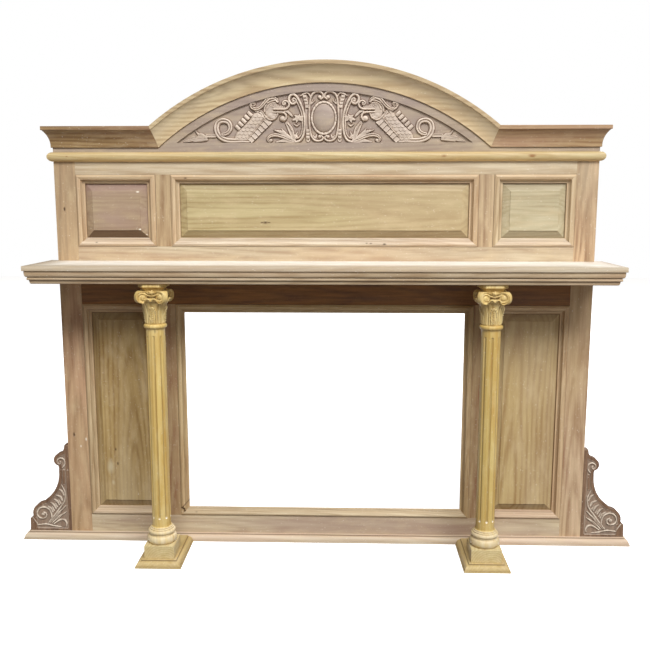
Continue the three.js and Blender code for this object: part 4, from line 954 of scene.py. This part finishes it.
    # Acanthus spray
    rib(height, *spot, [(112, 5), (139, 13), (164, 24), (189, 30), (211, 27), (223, 15), (217, 5), (208, 9)],
        [4, 6, 7, 7, 6, 5, 4.5, 4], [6, 8, 9, 9.5, 9.5, 9], "pair")
    dome(height, *spot, (211, 9), (7, 6.5), 9.5)
    rib(height, *spot, [(128, 14), (150, 30), (172, 42), (198, 49)], [4, 7, 6, 1.5], 8.5, "leaf")
    rib(height, *spot, [(136, 20), (156, 38), (168, 55)], [4, 5.5, 1.5], 8, "leaf")
    rib(height, *spot, [(122, 8), (125, 28), (133, 52), (146, 75)], [5, 9, 11, 7], 8, "hollow")
    rib(height, *spot, [(146, 75), (137, 66), (128, 48)], [1.5, 2.4, 2], 9.5)
    rib(height, *spot, [(118, 10), (112, 26), (104, 44)], [5, 5.5, 1.5], 7, "leaf")
    rib(height, *spot, [(110, 3), (139, 5), (161, 8), (190, 3)], [4, 6, 6, 2], 6.5, "leaf")

    # Outer scroll of the cartouche, its second ridge and its eye
    rib(height, *spot, [(112, 2), (94, 9), (82, 28), (77, 55), (76, 84), (79, 112), (87, 139), (97, 161), (109, 179),
                        (122, 187), (135, 179), (138, 165), (131, 153), (120, 150), (110, 157), (111, 167), (119, 171),
                        (125, 165)], [5, 5, 5, 5, 5, 5.5, 5.5, 5.5, 5, 4.5, 4, 3.5], 10.5)
    rib(height, *spot, [(120, 175), (106, 156), (96, 134), (88, 112), (85, 84), (86, 55), (90, 34), (100, 20),
                        (112, 18), (114, 27)], [2, 3.2, 3.4, 3.2, 3, 3, 3, 3.2, 4], 7.5)
    dome(height, *spot, (120, 161), (7, 7), 9.5)
    dome(height, *spot, (109, 24), (6, 6), 8)

    # Banded strap, inner rim and scrolls, and the boss in its beaded ring
    rib(height, *spot, [(78, 186), (72, 165), (67, 142), (65, 100), (64, 60), (63, 10)], [9, 8.5, 8], 5.5, "hollow")
    for place in (178, 165, 152, 139, 47, 34, 21):
        middle = np.interp(place, (10, 60, 100, 142, 165, 186), (63, 64, 65, 67, 72, 78))
        block = (np.abs(across - middle) < 6.4) & (np.abs(up - place) < 5.2)
        height = np.where(block, np.maximum(height, 8.0 - 0.25 * np.abs(up - place)), height)
    rib(height, *spot, [(92, 181), (66, 191), (52, 176)], 3.0, 9)
    rib(height, *spot, [(12, 168), (4, 174), (3, 184), (11, 194), (25, 197.5), (39, 192), (49, 181), (54, 163),
                        (57, 130), (58, 95), (57, 65), (54, 45), (50, 26), (40, 12), (25, 6), (10, 9), (3, 18),
                        (10, 27)], [3.5, 4.5, 4.5, 4.5, 4.5, 4, 4, 4, 4.5, 4.5, 4.5, 3.5], 10)
    dome(height, *spot, (16, 176), (8.5, 8), 10)
    dome(height, *spot, (16, 23), (7.5, 7), 9.5)
    rib(height, *spot, [(44, 168), (50, 150), (36, 162)], [2, 3, 2], 6)
    rib(height, *spot, [(44, 28), (34, 20), (28, 32)], [2, 5, 2], 6, "leaf")
    ring = np.hypot(across / 48.5, (up - BOSS_LEVEL) / 62)
    turn = np.arctan2(across / 48.5, (up - BOSS_LEVEL) / 62)
    height = np.where(ring < 1.06, np.maximum(height, 4.5), height)
    beads = 4.5 + 3.2 * np.sqrt(np.maximum(1 - ((ring - 0.985) / 0.075) ** 2, 0)) * np.abs(np.cos(turn * 9.5)) ** 0.4
    height = np.where(np.abs(ring - 0.985) < 0.075, np.maximum(height, beads), height)
    oval = np.hypot(across / BOSS_HALF_WIDTH, (up - BOSS_LEVEL) / BOSS_HALF_HEIGHT)
    return np.where(oval < 1, np.maximum(2.0, 15.0 * np.sqrt(np.maximum(1 - oval ** 2.2, 0))), height)


def welded(points, rings):
    """Joins points that coincide. Quads between the rings of points that lose a corner become triangles, and those
    that lose more are left out. Gives the points, the faces and which point each came from."""
    count, around = rings.shape[:2]
    _, first, same = np.unique(np.round(points / (0.01 * MM)).astype(np.int64), axis=0, return_index=True,
                               return_inverse=True)
    index = same.reshape(count, around)
    here, there = index[:-1], index[1:]
    quads = np.stack([here, np.roll(here, -1, 1), np.roll(there, -1, 1), there], -1).reshape(-1, 4)
    lone = quads != np.roll(quads, -1, 1)
    kept = lone.sum(1)
    triangles = quads[kept == 3][lone[kept == 3]].reshape(-1, 3)
    ends = [end[end != np.roll(end, -1)].tolist() for end in (index[0, ::-1], index[-1])]
    return points[first], quads[kept == 4].tolist() + triangles.tolist() + ends, first


share = np.linspace(0, 1, 109)
half_way = np.linspace(0, field_half, 317)
across, level = np.broadcast_arrays(half_way[:, None], share)
arch_rise = np.sqrt(np.maximum(FIELD_RADIUS ** 2 - half_way ** 2, 0)) + arch_centre - field_low
arch_rise[-1] = 0
up = arch_rise[:, None] * level
relief = carve_dragon_half(across.ravel() / MM, up.ravel() / MM).reshape(across.shape)
fading = np.clip(np.minimum(arch_rise[:, None] - up, up + 3 * MM) / (3 * MM), 0, 1)
relief = np.minimum(relief, GREATEST_RELIEF) * fading
crests, corners = crests_and_corners(relief)
half_depth = face + FIELD_DEPTH - relief * MM
half_depth[-1] = face
beyond = np.append(np.linspace(field_half, math.sqrt(outer_radius ** 2 - (run_high.z - arch_centre) ** 2), 14)[1:],
                   frieze_high.x)
station_x = np.concatenate([-beyond[::-1], -half_way[:0:-1], half_way, beyond])
plain_rows = np.full((len(beyond), len(share)), face)
boss = np.hypot(across / MM / BOSS_HALF_WIDTH, (up / MM - BOSS_LEVEL) / BOSS_HALF_HEIGHT) < 1
frieze_dust = np.minimum(0.42 * (relief > 3) + 0.7 * crests, 1) * np.where(boss, 0.25, 1)
# The mark shade is painted shade in the hollows of the carving.
mirrored = {"y": half_depth, "z": field_low + up, "dust": frieze_dust, "shade": 0.85 * corners}
plain = {"y": plain_rows, "z": plain_rows * 0 + field_low, "dust": plain_rows * 0, "shade": plain_rows * 0}
full = {key: np.concatenate([plain[key], half[:0:-1], half, plain[key]]) for key, half in mirrored.items()}
rise_at = np.concatenate([beyond * 0, arch_rise[:0:-1], arch_rise, beyond * 0])
crown = arch_centre + np.sqrt(np.maximum(outer_radius ** 2 - station_x ** 2, 0))
top_at = np.where(np.abs(station_x) < beyond[-2] - 0.01 * MM, crown, run_high.z)
edge = np.ones(len(station_x))


def around_board(rows, before, after):
    """One value for each point of the board's outline at each station: fixed points, the carved rows, fixed points."""
    return np.concatenate([np.stack([edge * value for value in before], 1), rows,
                           np.stack([edge * value for value in after], 1)], 1)


board = np.stack([
    around_board(full["y"] * 0 + station_x[:, None], [station_x] * 3, [station_x] * 3),
    around_board(full["y"], [frieze_high.y, face, face], [face, face, frieze_high.y]),
    around_board(full["z"], [frieze_low.z, frieze_low.z, field_low], [field_low + rise_at, top_at, top_at])], -1)
board_points, board_faces, origin = welded(board.reshape(-1, 3), board)
frieze_marks = {mark: around_board(full[mark], [0, 0, 0], [0, 0, 0]).ravel()[origin] for mark in ("dust", "shade")}
frieze_timber = bare_timber("frieze_timber", (0, face, (frieze_low.z + frieze_high.z) / 2), linear(186, 166, 138),
                            linear(152, 130, 108), ring=15 * MM, pith=(0.05, 0.05), askew=(1.0, 3.0), figure=0.35,
                            tint=linear(150, 132, 126), tint_share=0.6, seed=61, dust=linear(226, 206, 186),
                            painted_shade=linear(88, 54, 32))
wooden_piece("carved_frieze_board", board_points, board_faces, frieze_timber, "frieze_wood", "carved_frieze",
             crease=40, **frieze_marks)

# Cornice
# A crown moulding in three mitred parts, nailed to the frieze board: a straight run at each side that returns to
# the wall, and an arch sawn and moulded from wide olive-tan boards.

CORNICE_TOP_FILLET = 15 * MM
CORNICE_FOOT = 6 * MM
wall = run_high.y
cornice_tall = run_high.z - run_low.z
cornice_out = face - run_low.y
frame_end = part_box("lower_right_outer_stile")[1].x + JOINT_GAP / 2


def cornice_section():
    """[projection from the frame's face, height]: a small foot, a cove that steepens outwards, a step and a fillet."""
    reach, rise = cornice_out - CORNICE_FOOT - 5 * MM, cornice_tall - CORNICE_TOP_FILLET - CORNICE_FOOT - 2 * MM
    steep = math.radians(52)
    turn = np.linspace(0, steep, 14)
    cove = np.stack([CORNICE_FOOT + reach * (1 - np.cos(turn)) / (1 - math.cos(steep)),
                     CORNICE_FOOT + rise * np.sin(turn) / math.sin(steep)], -1)
    step = cornice_tall - CORNICE_TOP_FILLET
    return np.array([(0.3 * MM, 0), (CORNICE_FOOT - 0.5 * MM, 0), (CORNICE_FOOT, 0.5 * MM), *cove,
                     (cornice_out - 4 * MM, step - 1.2 * MM), (cornice_out - 1 * MM, step - 0.4 * MM),
                     (cornice_out, step + 0.6 * MM), (cornice_out, cornice_tall - 1 * MM),
                     (cornice_out - 1 * MM, cornice_tall), (0.3 * MM, cornice_tall)])


def mitre_x(height):
    """Where a straight run meets the arch at a height above the cornice's lower edge."""
    return np.sqrt((ARCH_RADIUS + height) ** 2 - (ARCH_CENTRE_DROP + height) ** 2)


out, up = cornice_section().T
# Painted shade in the hollow corners of the cornice's section.
cornice_shade = quirk_shade(cornice_section(), 0.9)
for side, sign in (("left", -1), ("right", 1)):
    node = f"cornice_{side}_run"
    heights = run_low.z + up
    stations = np.stack([
        np.stack([sign * (frame_end + out), np.full(len(out), wall), heights], -1),
        np.stack([sign * (frame_end + out), face - out, heights], -1),
        np.stack([sign * (mitre_x(up) + JOINT_GAP / 2), face - out, heights], -1)])
    pale, dark = ((164, 134, 90), (108, 78, 44)) if sign < 0 else ((194, 162, 118), (142, 108, 72))
    timber = bare_timber(node + "_timber", (sign * 0.9, face, run_low.z), linear(*pale), linear(*dark), ring=12 * MM,
                         pith=(0.04, 0.03), askew=(0.8, 2.0), figure=0.5, tint=linear(170, 132, 106),
                         tint_share=0.6, seed=62 + (sign > 0) * 0.7)
    wooden_piece(f"{side}_cornice_run", *carried(stations), timber, "cornice_wood", node,
                 shade=np.tile(cornice_shade, 3))
share = np.linspace(-1, 1, 97)[:, None]
radius = ARCH_RADIUS + up
turn = share * np.arcsin((mitre_x(up) - JOINT_GAP / 2) / radius)
arch_stations = np.stack([radius * np.sin(turn), np.broadcast_to(face - out, turn.shape),
                          run_low.z - ARCH_CENTRE_DROP + radius * np.cos(turn)], -1)
arch_timber = bare_timber("cornice_arch_timber", (0, face, 1.93), linear(220, 198, 155), linear(174, 146, 108),
                          ring=18 * MM, pith=(0.06, 0.06), askew=(0.6, 2.5), figure=0.6,
                          tint=linear(194, 162, 122), tint_share=0.5, seed=64, dust=linear(250, 236, 206))
# Painted light: the cove is paled towards its top with the dust mark; the top fillet gets extra painted shade, on top
# of the shade in the quirks.
fillet = up > cornice_tall - CORNICE_TOP_FILLET
painted_cove_light = np.where(fillet, 0, 0.4 * np.clip((up - 20 * MM) / (cornice_tall - 40 * MM), 0, 1))
wooden_piece("arched_cornice", *carried(arch_stations), arch_timber, "cornice_wood", "cornice_arch",
             shade=np.tile(cornice_shade + 0.16 * fillet, len(share)), dust=np.tile(painted_cove_light, len(share)))

# Side brackets
# Scrolled brackets of grey-brown hardwood stand on the base board's ends against the frame. A flat band follows the
# outer curve, a strip the frame, and between them two scrolls and fronds are carved, with pale dust on them and
# painted shade in their hollows.

BRACKET_TALL = 383


def bracket_edge():
    """[out, up] along the outer edge in millimetres: a block, the big scroll, a hollow curve, the small scroll and a
    neck, each an arc whose radius grows with its angle or a cubic curve."""
    turn = np.radians(np.linspace(-12, 93, 14))
    radius = 43.5 + np.linspace(0, 7, 14)
    scroll = np.stack([123 + radius * np.cos(turn), 74 + radius * np.sin(turn)], -1)
    t = np.linspace(0, 1, 16)[:, None]
    a, b, c, d = np.array([(120, 128), (90, 152), (50, 185), (45, 250)])
    hollow = (1 - t) ** 3 * a + 3 * t * (1 - t) ** 2 * b + 3 * t ** 2 * (1 - t) * c + t ** 3 * d
    turn = np.radians(np.linspace(-64, 84, 16))
    radius = np.linspace(21, 35, 16)
    curl = np.stack([37 + radius * np.cos(turn), 311 + radius * np.sin(turn)], -1)
    return np.vstack([(181.6, 0), (180, 54), (168, 60), scroll, hollow, (44, 284), curl, (26, 352), (19, 366),
                      (16, BRACKET_TALL)])


def carve_bracket(out, up, edge):
    """The bracket's relief over its face, in millimetres: ground 2 below the face, and bands, scrolls and fronds."""
    height = np.full_like(out, -2.0)
    spot = (out, up)
    inset = np.abs(beside(*spot, edge)[0])
    band = ((inset < 14) & (up > 118)) | (out < 16) | (up < 12) | ((out > 148) & (up < 56))
    band |= (inset < 13) & (up > 50) & (up <= 118) & (out > 120)
    height = np.where(band, 0.6, height)
    rib(height, *spot, [(150, 30), (164, 52), (171, 60)], [2.2, 2.4, 2.2], 3)
    rib(height, *spot, [(30, 282), (22, 290), (17, 304), (22, 320), (37, 325), (49, 316), (49, 304), (40, 299),
                        (34, 306), (38, 311)], [1.6, 3, 3.4, 3.4, 3.2, 3, 2.6, 2.6, 2.4, 2], 3.2)
    rib(height, *spot, [(88, 40), (86, 66), (93, 92), (112, 104), (132, 102), (146, 88), (148, 70), (138, 57),
                        (122, 54), (110, 62), (110, 76), (120, 82)],
        [2, 3.2, 3.6, 3.6, 3.4, 3, 3, 3, 3, 2.8, 2.6, 2.4], 3.4)
    dome(height, *spot, (124, 72), (7, 7), 3.2)
    rib(height, *spot, [(100, 36), (77, 64), (52, 97), (30, 128), (23, 155), (24, 178), (36, 206)],
        [3, 3.4, 3.6, 3.4, 3, 2.8, 1.2], 3.4)
    rib(height, *spot, [(92, 36), (60, 74), (23, 112)], [2, 4.5, 1.5], 3, "leaf")
    rib(height, *spot, [(86, 33), (54, 62), (22, 84)], [2, 5, 1.5], 3, "leaf")
    rib(height, *spot, [(78, 30), (50, 48), (32, 48), (22, 34), (24, 18)], [2.5, 4.5, 4, 3.5, 1.5], 3.2)
    rib(height, *spot, [(150, 24), (112, 28), (80, 21), (46, 16)], [2, 3, 3, 1.6], 2.6)
    for x, z in ((50, 116), (66, 100), (80, 84)):
        rib(height, *spot, [(x, z), (x + 8, z + 16), (x + 22, z + 26)], [3, 4.5, 1.2], 3.2, "leaf")
        rib(height, *spot, [(x - 6, z + 6), (x + 2, z + 24)], [3, 1], 2.4)
    rib(height, *spot, [(36, 136), (44, 152), (62, 160)], [2.5, 4.5, 1.2], 3.2, "leaf")
    rib(height, *spot, [(28, 160), (36, 178), (48, 186)], [2.5, 4, 1.2], 3, "leaf")
    rib(height, *spot, [(26, 210), (24, 240), (23, 272)], [5, 6, 4], 1.0, "hollow")
    return height


edge_line = bracket_edge()
up = np.concatenate([np.linspace(0, 53, 27), np.linspace(54, 66, 14), np.linspace(68, BRACKET_TALL, 160)])
outer = np.interp(up, edge_line[:, 1], edge_line[:, 0])
share = np.linspace(1, 0, 92)
out = outer[:, None] * share
relief = carve_bracket(out.ravel(), np.repeat(up, len(share)), edge_line).reshape(out.shape)
relief = relief * np.minimum(1, (1 - share) * 40)
relief[[0, -1]] = 0
crests, corners = crests_and_corners(relief, 3)
bracket_dust = np.minimum(0.2 * (relief < -0.5) + 0.7 * crests + 0.3 * (relief > 1.2), 1)
for side, sign in (("left", -1), ("right", 1)):
    node = f"{side}_bracket"
    low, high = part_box(node)
    against = high.x if sign < 0 else low.x
    blank = np.zeros((len(up), 1))
    x = against + sign * np.concatenate([blank, outer[:, None], out], 1) * MM
    y = np.concatenate([blank + high.y, blank + high.y, face - relief * MM], 1)
    z = np.broadcast_to(low.z + up[:, None] * MM, x.shape)
    # Dust on the ground and crests; the mark shade is painted shade in the hollows beside the relief.
    dust, shade = (np.concatenate([blank, blank, mark], 1) for mark in (bracket_dust, 0.5 * corners))
    hole = [((-1.125, face, 0.045), 5 * MM, linear(24, 18, 26))] if side == "left" else []
    timber = bare_timber(node + "_timber", (low + high) / 2, linear(128, 97, 73), linear(86, 59, 40), along="Z",
                         ring=9 * MM, figure=0.4, seed=70 + (side == "left"), film=linear(160, 130, 102),
                         dust=linear(230, 212, 190), painted_shade=linear(70, 42, 26), spots=hole)
    wooden_piece(f"{side}_carved_bracket", *carried(np.stack([x, y, z], -1)), timber, "bracket_wood", node,
                 crease=40, dust=dust, shade=shade)

# Studio
# A plain pale floor, a white surround, a broad soft light overhead and weaker ones from the front and behind.

floor_mesh = bpy.data.meshes.new("studio_floor")
floor_mesh.from_pydata([(-12, -9, 0), (12, -9, 0), (12, 12, 0), (-12, 12, 0)], [], [(0, 1, 2, 3)])
floor = bpy.data.objects.new("studio_floor", floor_mesh)
bpy.context.scene.collection.objects.link(floor)
floor_paint = bpy.data.materials.new("studio_floor_paint")
floor_paint.use_nodes = True
for socket, value in {"Base Color": (0.95, 0.95, 0.95, 1), "Roughness": 0.9, "Emission Color": (1, 1, 1, 1),
                      "Emission Strength": 0.7}.items():
    floor_paint.node_tree.nodes["Principled BSDF"].inputs[socket].default_value = value
floor_mesh.materials.append(floor_paint)
floor.visible_diffuse = False

surround = bpy.data.worlds.new("studio_surround")
surround.use_nodes = True
sky = surround.node_tree
sky.nodes.clear()
ambient = put(sky, "Background", {"Color": (1, 0.84, 0.62, 1), "Strength": 0.11})
seen = put(sky, "Background", {"Color": (1, 1, 1, 1), "Strength": 1.0})
straight = put(sky, "LightPath").outputs["Is Camera Ray"]
both = put(sky, "MixShader", {0: straight, 1: ambient.outputs[0], 2: seen.outputs[0]})
sky.links.new(both.outputs[0], put(sky, "OutputWorld").inputs[0])
bpy.context.scene.world = surround


def soft_light(name, place, aim, width, height, power):
    """A rectangular lamp at a place, turned to a point."""
    lamp = bpy.data.lights.new(name, "AREA")
    lamp.shape = "RECTANGLE"
    lamp.size, lamp.size_y, lamp.energy = width, height, power
    lamp.color = (0.88, 0.92, 0.97)
    held = bpy.data.objects.new(name, lamp)
    held.location = place
    held.rotation_euler = (Vector(aim) - Vector(place)).to_track_quat("-Z", "Y").to_euler()
    bpy.context.scene.collection.objects.link(held)


soft_light("overhead_light", (2.5, -9.0, 11.5), (0, 0, 1.0), 11.0, 5.0, 3080)
soft_light("front_light", (2.0, -5.0, 2.2), (0, 0, 1.0), 3.0, 2.0, 50)
soft_light("back_light", (3.0, 8.0, 5.0), (0, 0, 1.0), 6.0, 3.0, 420)

camera = bpy.data.cameras.new("photo_camera")
camera.lens = 44.22
camera.sensor_width = 36
eye = bpy.data.objects.new("photo_camera", camera)
eye.location = (0.0978, face - 3.2461, 1.4443)
eye.rotation_euler = (math.radians(90 - 8.878), 0, math.radians(1.641))
bpy.context.scene.collection.objects.link(eye)
bpy.context.scene.camera = eye
bpy.context.scene.view_settings.view_transform = "Standard"
